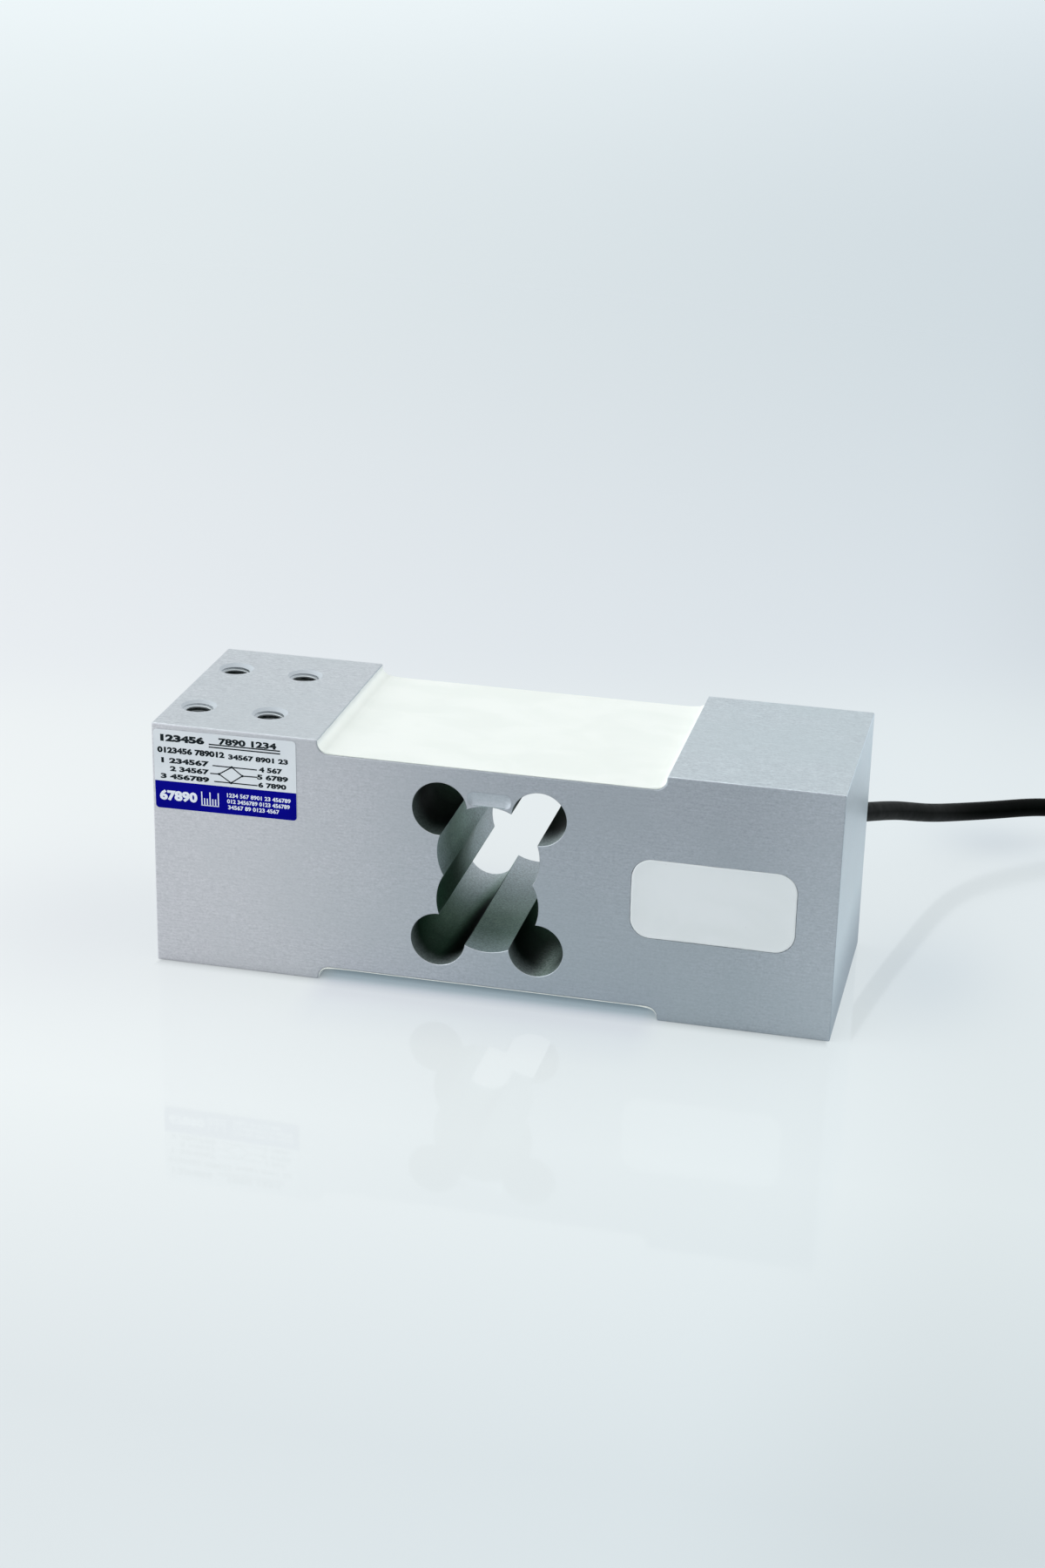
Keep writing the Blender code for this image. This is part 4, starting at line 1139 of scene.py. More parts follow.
def make_coat(name, mirror):
    ny = 72
    half = coat_path()
    path = [(-x, z, -nx, nz, climb) for x, z, nx, nz, climb in reversed(half[1:])] + half
    ys = [29.93 * math.copysign(1 - (1 - abs(-1 + 2 * j / ny)) ** 1.35, -1 + 2 * j / ny) for j in range(ny + 1)]
    turn = (lambda z: HEIGHT - z) if mirror else (lambda z: z)
    bm = bmesh.new()
    upper, lower = [], []
    seed = 7.3 if mirror else 0.0
    for x, z, nx, nz, climb in path:
        row_up, row_low = [], []
        for y in ys:
            thick = coat_thickness(x, y, climb, seed)
            if abs(y) > 29.9:
                thick = max(0.03, thick - 0.12)
            # the upper edge wanders a little along the wall
            slip = 0.10 * noise.noise(Vector((y * 0.35, x * 0.1, seed + 2))) * max(0.0, climb - 0.8) / 0.2
            row_up.append(bm.verts.new(Vector((x + nx * thick, y, turn(z + nz * thick + slip))) * MM))
            row_low.append(bm.verts.new(Vector((x + nx * 0.012, y, turn(z + nz * 0.012 + slip))) * MM))
        upper.append(row_up)
        lower.append(row_low)
    last = len(path) - 1
    for i in range(last):
        for j in range(ny):
            bm.faces.new((upper[i][j], upper[i + 1][j], upper[i + 1][j + 1], upper[i][j + 1]))
            bm.faces.new((lower[i][j + 1], lower[i + 1][j + 1], lower[i + 1][j], lower[i][j]))
    for i in range(last):
        bm.faces.new((lower[i][0], lower[i + 1][0], upper[i + 1][0], upper[i][0]))
        bm.faces.new((upper[i][ny], upper[i + 1][ny], lower[i + 1][ny], lower[i][ny]))
    for j in range(ny):
        bm.faces.new((upper[0][j], upper[0][j + 1], lower[0][j + 1], lower[0][j]))
        bm.faces.new((lower[last][j], lower[last][j + 1], upper[last][j + 1], upper[last][j]))
    return finish_mesh(name, bm, [M["silicone_coat"]], 50)


piece(make_coat("coat_top", False), "top_coating", slot="silicone")
piece(make_coat("coat_bottom", True), "bottom_coating", slot="silicone")


def make_potting():
    """Fill of the wiring pocket: flush, with a slightly raised and uneven rim."""
    outline = rounded(*POCKET, POCKET_R, 18)
    # even spacing round the outline
    dense = np.array(outline + outline[:1])
    along = np.concatenate([[0], np.cumsum(np.linalg.norm(np.diff(dense, axis=0), axis=1))])
    at = np.linspace(0, along[-1], 181)[:-1]
    ring = np.stack([np.interp(at, along, dense[:, k]) for k in range(2)], axis=1)
    cx, cz = (POCKET[0] + POCKET[1]) / 2, (POCKET[2] + POCKET[3]) / 2
    out = np.stack([ring[:, 0] - cx, ring[:, 1] - cz], axis=1)
    nearest = np.maximum(np.linalg.norm(out, axis=1), 1e-6)
    unit = out / nearest[:, None]
    rings = []

    def at_inset(inset, y, uneven=0.0, seed=0.0):
        made = []
        for k, (x, z) in enumerate(ring):
            ripple = uneven * noise.noise(Vector((x * 0.45, z * 0.45, seed)))
            step = inset + ripple
            made.append((x - unit[k, 0] * step, y, z - unit[k, 1] * step))
        return made

    rings.append(at_inset(0.12, -25.0))
    rings.append(at_inset(0.12, -29.75))
    rings.append(at_inset(0.10, -29.93, 0.06, 1.0))
    rings.append(at_inset(0.28, -30.035, 0.10, 2.0))
    rings.append(at_inset(0.62, -30.045, 0.16, 3.0))
    rings.append(at_inset(1.15, -30.00, 0.22, 4.0))
    rings.append(at_inset(1.9, -29.97, 0.2, 5.0))
    last = np.array(rings[-1])
    for scale in (0.86, 0.72, 0.58, 0.44, 0.30, 0.17, 0.06):
        inner = []
        for x, _, z in last:
            px, pz = cx + (x - cx) * scale, cz + (z - cz) * scale
            y = -29.965 + 0.03 * noise.noise(Vector((px * 0.12, pz * 0.18, 8.0)))
            inner.append((px, y, pz))
        rings.append(inner)
    bm = bmesh.new()
    made = loft(bm, rings, caps=(True, False))
    centre = bm.verts.new(Vector((cx, -29.965, cz)) * MM)
    for a, b in zip(made[-1], made[-1][1:] + made[-1][:1]):
        bm.faces.new((a, b, centre))
    return finish_mesh("pocket_fill", bm, [M["silicone"]], 60)


piece(make_potting(), "pocket_potting", slot="silicone")


# ---------------------------------------------------------------- label
def on_label(points, cx, cz):
    """Turns points about (cx, cz), as everything on the label sits slightly askew."""
    cos, sin = math.cos(LABEL_TURN), math.sin(LABEL_TURN)
    return [
        (cx + (x - cx) * cos - (z - cz) * sin, cz + (x - cx) * sin + (z - cz) * cos)
        for x, z in points
    ]


def plate(bm, outline, back, front, round_edge=0.0):
    """Flat plate between two planes y = back and y = front (front is towards the camera side)."""
    if round_edge:
        pts = np.array(outline)
        c = pts.mean(axis=0)
        out = pts - c
        unit = out / np.maximum(np.linalg.norm(out, axis=1), 1e-6)[:, None]
        small = pts - unit * round_edge
        loft(
            bm,
            [
                [(x, back, z) for x, z in pts],
                [(x, front + round_edge, z) for x, z in pts],
                [(x, front, z) for x, z in small],
            ],
        )
    else:
        loft(bm, [[(x, back, z) for x, z in outline], [(x, front, z) for x, z in outline]])


def bar(x0, x1, z0, z1, radius=0.25, steps=3):
    cx, cz = (x0 + x1) / 2, (z0 + z1) / 2
    return on_label(rounded(x0, x1, z0, z1, min(radius, 0.49 * (z1 - z0), 0.49 * (x1 - x0)), steps), cx, cz)


def pixels(px0, px1, py0, py1):
    """Label layout in eighths of a millimetre from the block's upper left, as (x0, x1, z0, z1)."""
    return px0 / 8 - 92, px1 / 8 - 92, 72 - py1 / 8, 72 - py0 / 8


def stroke(bm, a, b, width, back, front):
    """Straight printed line from a to b, (x, z) each."""
    a, b = np.array(a, float), np.array(b, float)
    d = (b - a) / np.linalg.norm(b - a)
    n = np.array([-d[1], d[0]]) * width / 2
    a, b = a - d * width * 0.3, b + d * width * 0.3
    plate(bm, [tuple(a + n), tuple(a - n), tuple(b - n), tuple(b + n)], back, front)


def numerals(bm, text, px0, px1, py0, py1, back, front, bold=0.02):
    """Plain numerals from the built-in face as a thin raised print, fitted to a box."""
    x0, x1, z0, z1 = pixels(px0, px1, py0, py1)
    curve = bpy.data.curves.new("numerals", "FONT")
    curve.body = text
    curve.size = 1.0
    curve.offset = bold
    curve.extrude = 0.5
    curve.resolution_u = 3
    made = bpy.data.objects.new("numerals", curve)
    scene.collection.objects.link(made)
    bpy.context.view_layer.update()
    graph = bpy.context.evaluated_depsgraph_get()
    mesh = bpy.data.meshes.new_from_object(made.evaluated_get(graph), depsgraph=graph)
    points = np.empty(len(mesh.vertices) * 3)
    mesh.vertices.foreach_get("co", points)
    points = points.reshape(-1, 3)
    low, high = points.min(axis=0), points.max(axis=0)
    flat = (points - (low + high) / 2) / (high - low)
    turned_points = on_label([(u * (x1 - x0), w * (z1 - z0)) for u, w in flat[:, :2]], 0.0, 0.0)
    cx, cz = (x0 + x1) / 2, (z0 + z1) / 2
    for vertex, (x, z), depth in zip(mesh.vertices, turned_points, flat[:, 2]):
        y = (back + front) / 2 - depth * (back - front)
        vertex.co = Vector((cx + x, y, cz + z)) * MM
    bm.from_mesh(mesh)
    bpy.data.objects.remove(made, do_unlink=True)
    bpy.data.curves.remove(curve)
    bpy.data.meshes.remove(mesh)


FILM_BACK, FILM_FRONT = -30.05, -30.165
BAND_FRONT, INK_FRONT = -30.18, -30.185


def make_label():
    bm = bmesh.new()
    shape = on_label(
        rounded(
            LABEL_X - LABEL_W / 2,
            LABEL_X + LABEL_W / 2,
            LABEL_Z - LABEL_H / 2,
            LABEL_Z + LABEL_H / 2,
            LABEL_R,
            10,
        ),
        LABEL_X,
        LABEL_Z,
    )
    plate(bm, shape, FILM_BACK, FILM_FRONT, 0.03)
    film_piece = finish_mesh("label_film", bm, [M["label_white"]], 30)
    piece(film_piece, "rating_label", slot="label_film")

    # blue band along the lower edge, inside the film's rounded lower corners
    bm = bmesh.new()
    x0, x1 = LABEL_X - LABEL_W / 2 + 0.06, LABEL_X + LABEL_W / 2 - 0.06
    z0, z1 = LABEL_Z - LABEL_H / 2 + 0.06, 50.42
    r = LABEL_R - 0.06
    band = []
    for px, pz, start in ((x1 - r, z0 + r, -90), (x0 + r, z0 + r, 180)):
        arc_points = [
            (px + r * math.cos(math.radians(start + 9 * i)), pz + r * math.sin(math.radians(start + 9 * i)))
            for i in range(11)
        ]
        band += arc_points if start == -90 else []
        if start == -90:
            band += [(x1, z1), (x0, z1)]
        else:
            band += arc_points
    plate(bm, on_label(band, LABEL_X, LABEL_Z), FILM_FRONT + 0.01, BAND_FRONT)
    piece(finish_mesh("label_band", bm, [M["label_blue"]], 30), slot="label_film")

    # plain numerals in place of print, two rules and a wiring diagram
    bm = bmesh.new()
    back, front = FILM_FRONT + 0.01, INK_FRONT

    def row(text, px0, px1, py0, py1, bold=0.02):
        numerals(bm, text, px0, px1, py0, py1, back, front, bold)

    row("123456", 55, 148, 72.5, 88, 0.06)
    row("7890 1234", 178, 299, 69, 83, 0.045)
    for py in (84.6, 90.4):
        stroke(bm, (158 / 8 - 92, 72 - (py + 0.6) / 8), (306 / 8 - 92, 72 - (py - 0.6) / 8), 0.33, back, front)
    row("0123456 789012", 48, 190, 99.5, 113, 0.055)
    row("34567 8901 23", 198, 323, 101, 112.5, 0.05)
    row("1 234567", 56, 157, 122.5, 134.5, 0.05)
    row("2 34567", 74, 157, 140, 151.5, 0.05)
    row("3 456789", 54, 157, 157, 168.5, 0.05)
    row("4 567", 262, 311, 122, 133.5, 0.05)
    row("5 6789", 258, 323, 138, 149.5, 0.05)
    row("6 7890", 260, 319, 155, 166.5, 0.05)
    at = lambda px, py: (px / 8 - 92, 72 - py / 8)
    left, top, right_, bottom = at(178, 147), at(205, 129.5), at(227, 146), at(203, 163.5)
    for a, b in ((left, top), (top, right_), (right_, bottom), (bottom, left)):
        stroke(bm, a, b, 0.30, back, front)
    for a, b in (
        (at(165, 130), at(257, 129.5)),
        (at(160, 147.5), at(178, 147)),
        (at(227, 146), at(258, 145)),
        (at(168, 164), at(258, 163)),
    ):
        stroke(bm, a, b, 0.30, back, front)
    for cx, cz in (left, top, right_, bottom):
        plate(bm, [(cx + 0.33 * math.cos(2 * math.pi * i / 16), cz + 0.33 * math.sin(2 * math.pi * i / 16)) for i in range(16)], back, front - 0.002)
    piece(finish_mesh("label_marks", bm, [M["ink"]], 30), slot="label_film")

    # light marks on the band: numerals, a plain graduated scale and three short rows
    bm = bmesh.new()
    back, front = BAND_FRONT + 0.01, INK_FRONT - 0.01

    def light(px0, px1, py0, py1, radius=0.2):
        x0, x1, z0, z1 = pixels(px0, px1, py0, py1)
        plate(bm, bar(x0, x1, z0, z1, radius), back, front)

    numerals(bm, "67890", 51, 131, 193, 216, back, front, 0.055)
    base = 219.0
    light(139, 177, base - 1.6, base, 0.05)
    for i in range(7):
        tall = 30 if i in (0, 3, 6) else 16
        cx = 140.5 + 35.0 * i / 6
        light(cx - 1.2, cx + 1.2, base - tall, base - 1.0, 0.05)
    for text, px0, px1, py in (
        ("1234 567 8901 23 456789", 194, 328, 190),
        ("012 3456789 0123 456789", 194, 326, 203),
        ("34567 89 0123 4567", 196, 304, 216),
    ):
        numerals(bm, text, px0, px1, py - 4.6, py + 4.6, back, front, 0.03)
    piece(finish_mesh("label_light_marks", bm, [M["reverse"]], 30), slot="label_film")


make_label()


# ---------------------------------------------------------------- cable entry, tie and free end
def make_boot():
    """Moulded entry: flange with rounded rim, grooved taper, lip round the cable."""
    bm = bmesh.new()
    bore = CABLE_R + 0.02
    outer = [(-6.9, 3.62), (-6.7, 3.72), (0.2, 3.72)]
    taper = []
    for i in range(33):
        s = i / 32
        along = 0.9 + 5.7 * s
        radius = 3.86 - 0.55 * s
        radius -= 0.16 * max(0.0, math.cos(2 * math.pi * (s * 4.0 + 0.5))) ** 2 if 0.08 < s < 0.92 else 0.0
        taper.append((along, radius))
    end = [(6.75, 3.24), (6.88, 3.10), (6.90, bore + 0.10), (6.82, bore)]
    inner = [(-6.8, bore), (-6.9, bore + 0.1)]
    turned(bm, outer + taper + end + inner, EXIT, EXIT_DIR, 72, closed=True)
    boot = finish_mesh("boot", bm, [M["boot"]], 35)
    bm = bmesh.new()
    profile = [(0.06, 3.4), (0.06, 4.55), (0.14, 4.68), (0.32, 4.72), (0.95, 4.72), (1.22, 4.62), (1.38, 4.40), (1.46, 4.10), (1.46, 3.4)]
    turned(bm, profile, (EXIT[0] + 0.25, EXIT[1], EXIT[2] - 0.06), (0, 1, 0), 72, closed=True)
    flange = finish_mesh("boot_flange", bm, [M["boot"]], 35)
    return boot, flange


boot, flange = make_boot()
piece(boot, "cable_boot", slot="boot_rubber")
piece(flange, slot="boot_rubber")


def make_tie():
    """Nylon cable tie round the coil: toothed strap through a locking head, with a short tail."""
    out = Vector((math.cos(TIE_ANGLE), math.sin(TIE_ANGLE), 0))
    along = Vector((-out.y, out.x, 0))
    centre = Vector((COIL_X, COIL_Y, 0))
    # where the turns pass under the strap
    line = coil_line()
    flat = line - np.array([COIL_X, COIL_Y, 0.0])
    reach, aside = flat @ np.array(out), flat @ np.array(along)
    crossed = []
    for i in range(len(line) - 1):
        if aside[i] * aside[i + 1] <= 0 and reach[i] > 0 and aside[i] != aside[i + 1]:
            part = aside[i] / (aside[i] - aside[i + 1])
            crossed.append((reach[i] + part * (reach[i + 1] - reach[i]), line[i, 2] + part * (line[i + 1, 2] - line[i, 2])))

    def drawn(gap, count=96):
        loop = []
        for i in range(count):
            u, w = math.cos(2 * math.pi * i / count), math.sin(2 * math.pi * i / count)
            r, z = max(crossed, key=lambda c: c[0] * u + c[1] * w)
            loop.append((r + (CABLE_R + gap) * u, max(z + (CABLE_R + gap) * w, 0.05)))
        return loop

    inner, outer = drawn(0.10), drawn(0.88)
    r1 = max(r for r, z in outer) - 1.10
    bm = bmesh.new()
    place = lambda r, side, z: (centre + out * r + along * side + Vector((0, 0, z))) * MM
    loops = []
    for shape, side in ((outer, -1.62), (outer, 1.62), (None, 1.8), (inner, 1.62), (inner, -1.62), (None, -1.8)):
        if shape is None:
            shape = [((a[0] + b[0]) / 2, (a[1] + b[1]) / 2) for a, b in zip(outer, inner)]
        loops.append([bm.verts.new(place(r, side, z)) for r, z in shape])
    count = len(inner)
    for a, b in zip(loops, loops[1:] + loops[:1]):
        for i in range(count):
            j = (i + 1) % count
            bm.faces.new((a[i], a[j], b[j], b[i]))
    strap = finish_mesh("tie_strap", bm, [M["nylon"]], 40)

    bm = bmesh.new()
    def box(r_low, r_high, s_low, s_high, z_low, z_high, soft):
        verts = [
            bm.verts.new(place(r, s, z))
            for r in (r_low, r_high)
            for s in (s_low, s_high)
            for z in (z_low, z_high)
        ]
        made = [
            bm.faces.new([verts[k] for k in quad])
            for quad in ((0, 1, 3, 2), (4, 6, 7, 5), (0, 4, 5, 1), (2, 3, 7, 6), (0, 2, 6, 4), (1, 5, 7, 3))
        ]
        edges = list({e for f in made for e in f.edges})
        bmesh.ops.recalc_face_normals(bm, faces=made)
        bmesh.ops.bevel(bm, geom=edges, offset=soft * MM, segments=3, affect="EDGES", profile=0.5)

    box(r1 + 1.15, r1 + 4.35, -2.85, 2.85, 7.05, 12.35, 0.45)
    box(r1 + 1.6, r1 + 2.5, -1.75, 1.75, 12.2, 16.2, 0.12)
    for k in range(5):
        z = 12.9 + 0.62 * k
        box(r1 + 2.4, r1 + 2.72, -1.2, 1.2, z, z + 0.34, 0.06)
    head = finish_mesh("tie_head", bm, [M["nylon"]], 40)
    return strap, head


tie_strap, tie_head = make_tie()
piece(tie_strap, "coil_tie", slot="tie_nylon")
piece(tie_head, slot="tie_nylon")


def make_sleeve():
    """Shrink sleeve: tight on the jacket, drawn in over the cores at its far end."""
    bm = bmesh.new()
    profile = [(0.0, 2.66)]
    for i in range(49):
        s = i / 48
        along = 0.02 + 13.9 * s
        radius = 3.02
        radius -= 0.55 * ease((along - 8.0) / 3.2)
        radius += 0.045 * noise.noise(Vector((along * 0.9, 0.0, 2.0)))
        if along < 0.5:
            radius = 2.72 + (radius - 2.72) * ease(along / 0.5)
        if along > 13.4:
            radius -= 0.18 * ease((along - 13.4) / 0.5)
        profile.append((along, radius))
    profile += [(13.98, 2.18), (13.6, 2.0), (8.4, 2.0), (7.4, 2.62)]
    turned(bm, profile, (TAIL_X, SLEEVE_Y, 3.15), (0, -1, 0), 56, closed=True)
    return finish_mesh("shrink_sleeve", bm, [M["sleeve"]], 40)


sleeve = piece(make_sleeve(), "end_sleeve", slot="sleeve_shrink")


def tube_mesh(bm, line, radius, sides=16, index=0, taper=None):
    """Closed round tube along a line, with parallel-transported rings and domed ends."""
    line = np.asarray(line, float)
    tangents = np.gradient(line, axis=0)
    tangents /= np.linalg.norm(tangents, axis=1)[:, None]
    up = np.array((0.0, 0.0, 1.0))
    normal = np.cross(tangents[0], up)
    normal /= np.linalg.norm(normal)
    rings = []
    for k, (p, t) in enumerate(zip(line, tangents)):
        normal = normal - t * float(np.dot(normal, t))
        normal /= np.linalg.norm(normal)
        other = np.cross(t, normal)
        r = radius if taper is None else radius * taper(k / (len(line) - 1))
        rings.append(
            [
                tuple(p + r * (normal * math.cos(2 * math.pi * i / sides) + other * math.sin(2 * math.pi * i / sides)))
                for i in range(sides)
            ]
        )
    loft(bm, rings, index=index)


def strands(bm, line, count, ring, radius, pitch, index=0, sides=8):
    """Twisted bundle of fine wires round a line, one in the middle."""
    line = np.asarray(line, float)
    tangents = np.gradient(line, axis=0)
    tangents /= np.linalg.norm(tangents, axis=1)[:, None]
    along = np.concatenate([[0], np.cumsum(np.linalg.norm(np.diff(line, axis=0), axis=1))])
    normal = np.cross(tangents[0], (0.0, 0.0, 1.0))
    normal /= np.linalg.norm(normal)
    frames = []
    for t in tangents:
        normal = normal - t * float(np.dot(normal, t))
        normal /= np.linalg.norm(normal)
        frames.append((normal.copy(), np.cross(t, normal)))
    for s in range(count + 1):
        if s == count:
            tube_mesh(bm, line, radius, sides, index)
            continue
        path = []
        for p, (n, o), d in zip(line, frames, along):
            a = 2 * math.pi * (s / count + d / pitch)
            path.append(p + ring * (n * math.cos(a) + o * math.sin(a)))
        tube_mesh(bm, path, radius, sides, index)


def make_free_end():
    face = COIL_Y - 60.0 - 0.3 - 14.0 - 0.3
    spread = (-11.4, -7.2, -3.2, 3.2, 7.2, 11.4)
    starts = (-1.55, -0.95, -0.35, 0.35, 0.95, 1.55)
    lifts = (0.0, 1.45, -1.5, 1.5, -1.45, 0.0)
    x, made = TAIL_X, []
    for core, out, off, lift in zip(
        ("yellow", "blue", "green", "white", "red", "black"), spread, starts, lifts
    ):
        reach = 31.0 - 0.012 * out * out
        line = smooth_curve(
            [
                (x + off, face, 3.15 + lift * 0.98),
                (x + off + 0.1 * out, face - 3.5, 3.1 + lift * 0.85),
                (x + 0.36 * out + off * 0.5, face - 10.0, 1.9 + lift * 0.35),
                (x + 0.70 * out, face - 18.0, 0.95),
                (x + out, face - reach, 0.72),
            ],
            0.35,
            ((0, -1, 0), None),
        )
        back = np.array(
            [(x + off * 0.92, face + d, 3.15 + lift * 0.9) for d in np.linspace(3.0, 0.5, 8)]
        )
        line = np.concatenate([back, line])
        along = np.concatenate([[0], np.cumsum(np.linalg.norm(np.diff(line, axis=0), axis=1))])
        cut = along[-1] - 6.0
        skin = line[along <= cut]
        bare = line[(along >= cut - 1.2) & (along <= along[-1] - 0.2)]
        bm = bmesh.new()
        tube_mesh(bm, skin, 0.6, 20)
        bm2 = bmesh.new()
        strands(bm2, bare, 6, 0.235, 0.125, 4.5)
        wire = finish_mesh(f"core_{core}_strands", bm2, [M["tinned"]], 40)
        skin_piece = finish_mesh(f"core_{core}_skin", bm, [M[f"core_{core}"]], 40)
        piece(skin_piece, f"core_{core}_end", slot=f"core_{core}")
        piece(wire, slot="tinned_copper")
        made += [skin_piece, wire]
    line = smooth_curve(
        [
            (x, face + 3.0, 3.15),
            (x, face, 3.15),
            (x, face - 4.0, 3.05),
            (x - 0.1, face - 9.0, 2.2),
            (x + 0.1, face - 17.0, 0.8),
            (x, face - 26.8, 0.5),
        ],
        0.3,
        ((0, -1, 0), None),
    )
    bm = bmesh.new()
    strands(bm, line, 6, 0.26, 0.145, 6.0)
    screen = finish_mesh("screen_wire", bm, [M["tinned"]], 40)
    piece(screen, "shield_wire_end", slot="tinned_copper")
    return made + [screen]


free_end = make_free_end()


# ---------------------------------------------------------------- parts that stay as in the CAD
for node, material in {
    "strain_gauge_top_left": "gauge",
    "strain_gauge_top_right": "gauge",
    "strain_gauge_bottom_left": "gauge",
    "strain_gauge_bottom_right": "gauge",
    "gauge_leads_top_left": "enamel",
    "gauge_leads_top_right": "enamel",
    "gauge_leads_bottom_left": "enamel",
    "gauge_leads_bottom_right": "enamel",
    "compensation_board": "board",
    "span_resistor_upper": "resistor_film",
    "span_resistor_lower": "resistor_film",
    "zero_resistor": "chip",
    "cable_inner_run": "jacket",
    "pull_stop_tie": "nylon",
    "core_red_inner": "core_red",
    "core_black_inner": "core_black",
    "core_green_inner": "core_green",
    "core_white_inner": "core_white",
    "core_blue_inner": "core_blue",
    "core_yellow_inner": "core_yellow",
}.items():
    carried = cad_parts[node]
    carried.data.materials.clear()
    carried.data.materials.append(M[material])


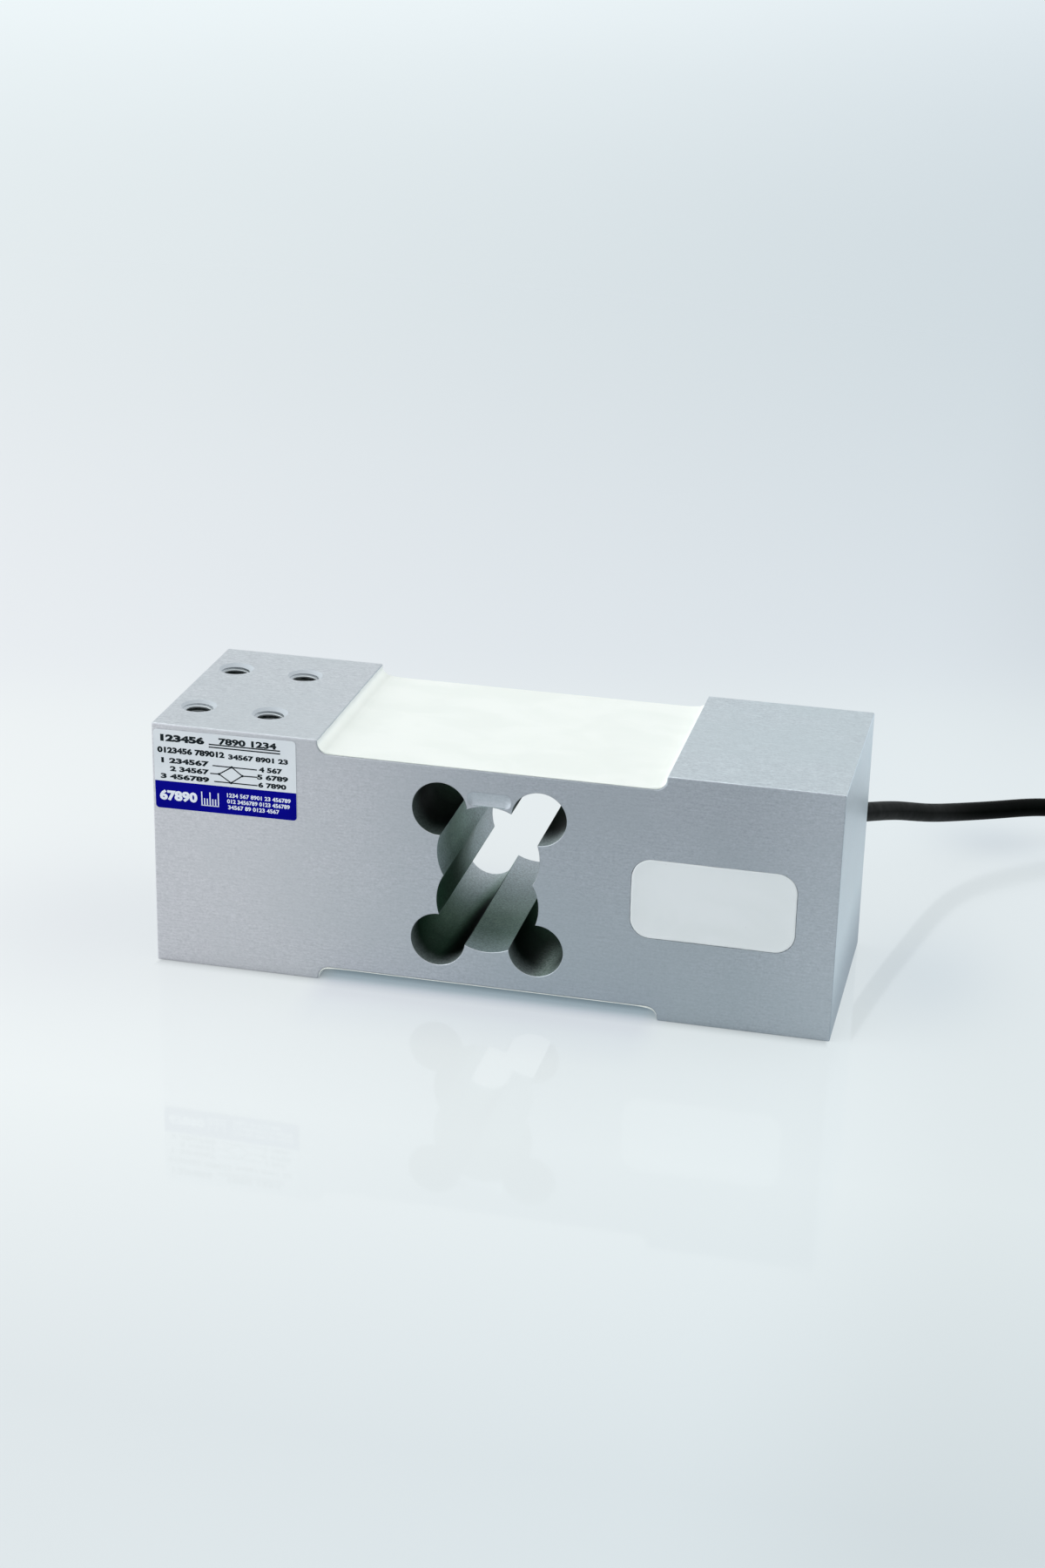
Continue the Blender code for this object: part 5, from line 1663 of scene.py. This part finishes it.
# ---------------------------------------------------------------- floor and light
def make_floor():
    """Pale table top that glows as well as taking the lamps' light, with painted light and shade:
    brighter at the left, a little cooler and darker towards the right and the far side, and darker again close to the
    front."""
    n = Nodes("floor_pale")
    x, y, z = n.split(n.at)
    fine = n.noise(n.scaled((900.0, 900.0, 900.0)), 1.0, 2.0, 0.5)
    cloud = n.noise(n.scaled((1.3, 1.3, 1.3)), 1.0, 2.0, 0.5)
    side = n.math("TANH", n.math("DIVIDE", x, 0.6))
    far = n.math("TANH", n.math("DIVIDE", n.math("SUBTRACT", y, 0.1), 0.9))
    far = n.math("MAXIMUM", far, -0.45)
    band = n.math("DIVIDE", n.math("SUBTRACT", y, 0.15), 0.45)
    band = n.math("EXPONENT", n.math("MULTIPLY", n.math("MULTIPLY", band, band), -1.0))
    front = n.math("MAXIMUM", n.math("SUBTRACT", n.math("MULTIPLY", y, -1.0), 0.10), 0.0)
    front = n.math("MINIMUM", front, 0.12)
    step = n.math("SUBTRACT", n.math("SUBTRACT", y, n.math("MULTIPLY", x, 0.283)), 0.209)
    step = n.math("TANH", n.math("DIVIDE", step, 0.035))

    def spot(centre_x, centre_y, radius_x, radius_y):
        """Soft round patch, 1 in its middle."""
        across = n.math("DIVIDE", n.math("SUBTRACT", x, centre_x), radius_x)
        along = n.math("DIVIDE", n.math("SUBTRACT", y, centre_y), radius_y)
        square = n.math("ADD", n.math("MULTIPLY", across, across), n.math("MULTIPLY", along, along))
        return n.math("EXPONENT", n.math("MULTIPLY", square, -1.0))

    # painted shade left of the block, painted light to the right behind it, a painted shadow pool by the block's right
    # foot and a painted shadow under the cable
    painted_shade_left = spot(-0.115, -0.015, 0.045, 0.050)
    painted_light_right = spot(0.150, 0.120, 0.060, 0.130)
    painted_shadow_pool = spot(0.108, 0.014, 0.018, 0.030)
    painted_cable_shadow = spot(0.117, 0.112, 0.016, 0.014)
    total = None
    for factor, tint in (
        (None, (0.667, 0.727, 0.742)),
        (side, (-0.161, -0.109, -0.080)),
        (far, (-0.303, -0.296, -0.287)),
        (band, (0.021, 0.006, 0.014)),
        (n.math("MULTIPLY", side, far), (0.016, -0.031, -0.037)),
        (front, (-1.051, -1.048, -0.930)),
        (step, (-0.020, -0.022, -0.012)),
        (painted_shade_left, (-0.055, -0.060, -0.045)),
        (painted_light_right, (0.068, 0.068, 0.074)),
        (painted_shadow_pool, (-0.070, -0.062, -0.044)),
        (painted_cable_shadow, (-0.090, -0.086, -0.070)),
        (n.math("SUBTRACT", cloud, 0.5), (0.02, 0.02, 0.02)),
    ):
        node = n.new("ShaderNodeVectorMath", operation="SCALE")
        node.inputs[0].default_value = tint
        n.put(node.inputs["Scale"], 1.0 if factor is None else factor)
        if total is None:
            total = node.outputs[0]
            continue
        add = n.new("ShaderNodeVectorMath", operation="ADD")
        n.link(total, add.inputs[0])
        n.link(node.outputs[0], add.inputs[1])
        total = add.outputs[0]

    def part(share):
        node = n.new("ShaderNodeVectorMath", operation="SCALE")
        n.link(total, node.inputs[0])
        n.put(node.inputs["Scale"], share)
        return node.outputs[0]

    # painted shadow: the glow is taken down right beside and under the block
    out_x = n.math("SUBTRACT", n.math("ABSOLUTE", x), 0.5 * LENGTH * MM)
    out_y = n.math("SUBTRACT", n.math("ABSOLUTE", y), 0.5 * WIDTH * MM)
    out_x = n.math("ADD", n.math("MULTIPLY", out_x, 3.0), 0.004)
    near = n.span(n.math("MAXIMUM", out_x, out_y), -0.0035, 0.0045, 1.0, 0.0, True)
    # painted light: to the right of the block glow takes the place of lamp light, so shadows there are fainter
    faint = n.span(x, 0.075, 0.135, 0.0, 1.0, True)
    base = n.math("SUBTRACT", n.span(near, 0.0, 1.0, FLOOR_DIFFUSE, 0.42), n.math("MULTIPLY", faint, 0.12))
    glow = n.math("ADD", n.span(near, 0.0, 1.0, FLOOR_GLOW, 0.17), n.math("MULTIPLY", faint, 0.066))
    # painted bluish light on the floor in under the relief, and painted shade on the floor just before it
    offset = 0.07
    creep = n.ramp(n.math("ABSOLUTE", y), (
        (0.0200, (0.045, 0.070, 0.090)),
        (0.0236, (0.045, 0.074, 0.100)),
        (0.0262, (0.145, 0.190, 0.230)),
        (0.0282, (0.140, 0.175, 0.214)),
        (0.0302, (0.080, 0.086, 0.130)),
        (0.0330, (0.020, 0.012, 0.040)),
        (0.0360, (0.012, 0.002, 0.032)),
        (0.0435, (0.040, 0.040, 0.055)),
        (0.0600, (offset, offset, offset)),
    ))
    shift = n.new("ShaderNodeVectorMath", operation="SUBTRACT")
    n.link(creep, shift.inputs[0])
    shift.inputs[1].default_value = (offset, offset, offset)
    within = n.new("ShaderNodeVectorMath", operation="SCALE")
    n.link(shift.outputs[0], within.inputs[0])
    n.put(within.inputs["Scale"], n.span(n.math("ABSOLUTE", x), 0.039, 0.048, 1.0, 0.0, True))
    lit = n.new("ShaderNodeVectorMath", operation="ADD")
    n.link(part(glow), lit.inputs[0])
    n.link(within.outputs[0], lit.inputs[1])
    n.link(part(base), n.shader.inputs["Base Color"])
    n.link(lit.outputs[0], n.shader.inputs["Emission Color"])
    n.shader.inputs["Emission Strength"].default_value = 1.0
    n.surface(
        None,
        n.math("ADD", n.span(fine, 0.3, 0.7, 0.03, 0.05), n.math("MULTIPLY", faint, 0.13)),
        n.bump(fine, 0.01, 0.00001),
        Specular_IOR_Level=0.24,
    )
    bm = bmesh.new()
    size, steps = 12.0, 24
    verts = [
        [bm.verts.new((-size / 2 + size * i / steps, -size / 2 + size * j / steps, 0.0)) for j in range(steps + 1)]
        for i in range(steps + 1)
    ]
    for i in range(steps):
        for j in range(steps):
            bm.faces.new((verts[i][j], verts[i + 1][j], verts[i + 1][j + 1], verts[i][j + 1]))
    floor = finish_mesh("floor", bm, [n.material], 30)
    return floor


FLOOR_DIFFUSE, FLOOR_GLOW = 0.26, 0.73
floor = make_floor()


def make_backdrop():
    """Pale paper all round, far behind the object, that only the camera sees."""
    n = Nodes("backdrop_pale")
    x, y, z = n.split(n.at)
    paper = n.noise(n.scaled((0.8, 0.8, 0.8)), 1.0, 2.0, 0.5)
    rise = n.math("ADD", n.span(z, 0.0, 3.0, 0.0, 1.0, True), n.math("MULTIPLY", n.math("SUBTRACT", paper, 0.5), 0.1))
    left = n.span(n.math("ABSOLUTE", x), 1.0, 5.0, 0.0, 1.0, True)
    foot = n.mix(left, (0.60, 0.68, 0.71), (1.0, 1.0, 1.0))
    top = n.mix(left, (0.78, 0.84, 0.87), (0.90, 0.93, 0.95))
    tint = n.mix(rise, foot, top)
    n.link(tint, n.shader.inputs["Emission Color"])
    n.shader.inputs["Emission Strength"].default_value = 1.0
    n.surface((0.0, 0.0, 0.0), 0.9, None, Specular_IOR_Level=0.0)
    bm = bmesh.new()
    around, heights = 96, (0.0, 1.0, 2.2, 3.8, 6.0)
    rings = []
    for up in heights:
        rings.append([
            bm.verts.new((5.6 * math.cos(2 * math.pi * i / around), 5.6 * math.sin(2 * math.pi * i / around), up))
            for i in range(around)
        ])
    for lower, higher in zip(rings, rings[1:]):
        for i in range(around):
            j = (i + 1) % around
            bm.faces.new((lower[i], higher[i], higher[j], lower[j]))
    made = finish_mesh("backdrop", bm, [n.material], 30)
    made.visible_diffuse = False
    made.visible_glossy = False
    made.visible_transmission = False
    made.visible_volume_scatter = False
    made.visible_shadow = False


make_backdrop()


def make_world():
    """Studio surround: light behind and above, a bright panel at the left front, dim at the
    right front."""
    world = bpy.data.worlds.new("studio")
    scene.world = world
    world.use_nodes = True
    tree = world.node_tree
    background = tree.nodes["Background"]
    where = tree.nodes.new("ShaderNodeTexCoord").outputs["Generated"]
    total = None
    for axis, low, high, gain in (
        ((0.0, 0.0, 1.0), -1.1, -1.0, 0.22),
        ((0.0, 1.0, 0.0), -0.35, 0.40, 0.66),
        ((-0.80, -0.52, 0.30), 0.55, 0.97, 1.7),
        ((0.0, -0.25, 0.97), 0.60, 0.93, 0.62),
        ((0.92, -0.10, 0.38), 0.45, 0.95, 0.50),
    ):
        unit = Vector(axis).normalized()
        dot = tree.nodes.new("ShaderNodeVectorMath")
        dot.operation = "DOT_PRODUCT"
        tree.links.new(where, dot.inputs[0])
        dot.inputs[1].default_value = unit
        ramp = tree.nodes.new("ShaderNodeMapRange")
        ramp.interpolation_type = "SMOOTHSTEP"
        tree.links.new(dot.outputs["Value"], ramp.inputs["Value"])
        for key, value in (("From Min", low), ("From Max", high), ("To Min", 0.0), ("To Max", gain)):
            ramp.inputs[key].default_value = value
        if total is None:
            total = ramp.outputs["Result"]
            continue
        add = tree.nodes.new("ShaderNodeMath")
        add.operation = "ADD"
        tree.links.new(total, add.inputs[0])
        tree.links.new(ramp.outputs["Result"], add.inputs[1])
        total = add.outputs[0]
    tree.links.new(total, background.inputs["Strength"])
    background.inputs["Color"].default_value = (0.94, 0.975, 1.0, 1.0)


make_world()


def softbox(name, location, target, size, power, colour):
    data = bpy.data.lights.new(name, "AREA")
    data.shape = "RECTANGLE"
    data.size, data.size_y = size
    data.energy = power
    data.color = colour
    made = bpy.data.objects.new(name, data)
    scene.collection.objects.link(made)
    made.location = location
    made.rotation_mode = "QUATERNION"
    made.rotation_quaternion = (Vector(target) - Vector(location)).to_track_quat("-Z", "Y")
    return made


softbox("key_softbox", (-0.85, -0.12, 1.52), (0, 0, 0.03), (1.6, 1.6), 4.5, (1.0, 1.0, 0.99))
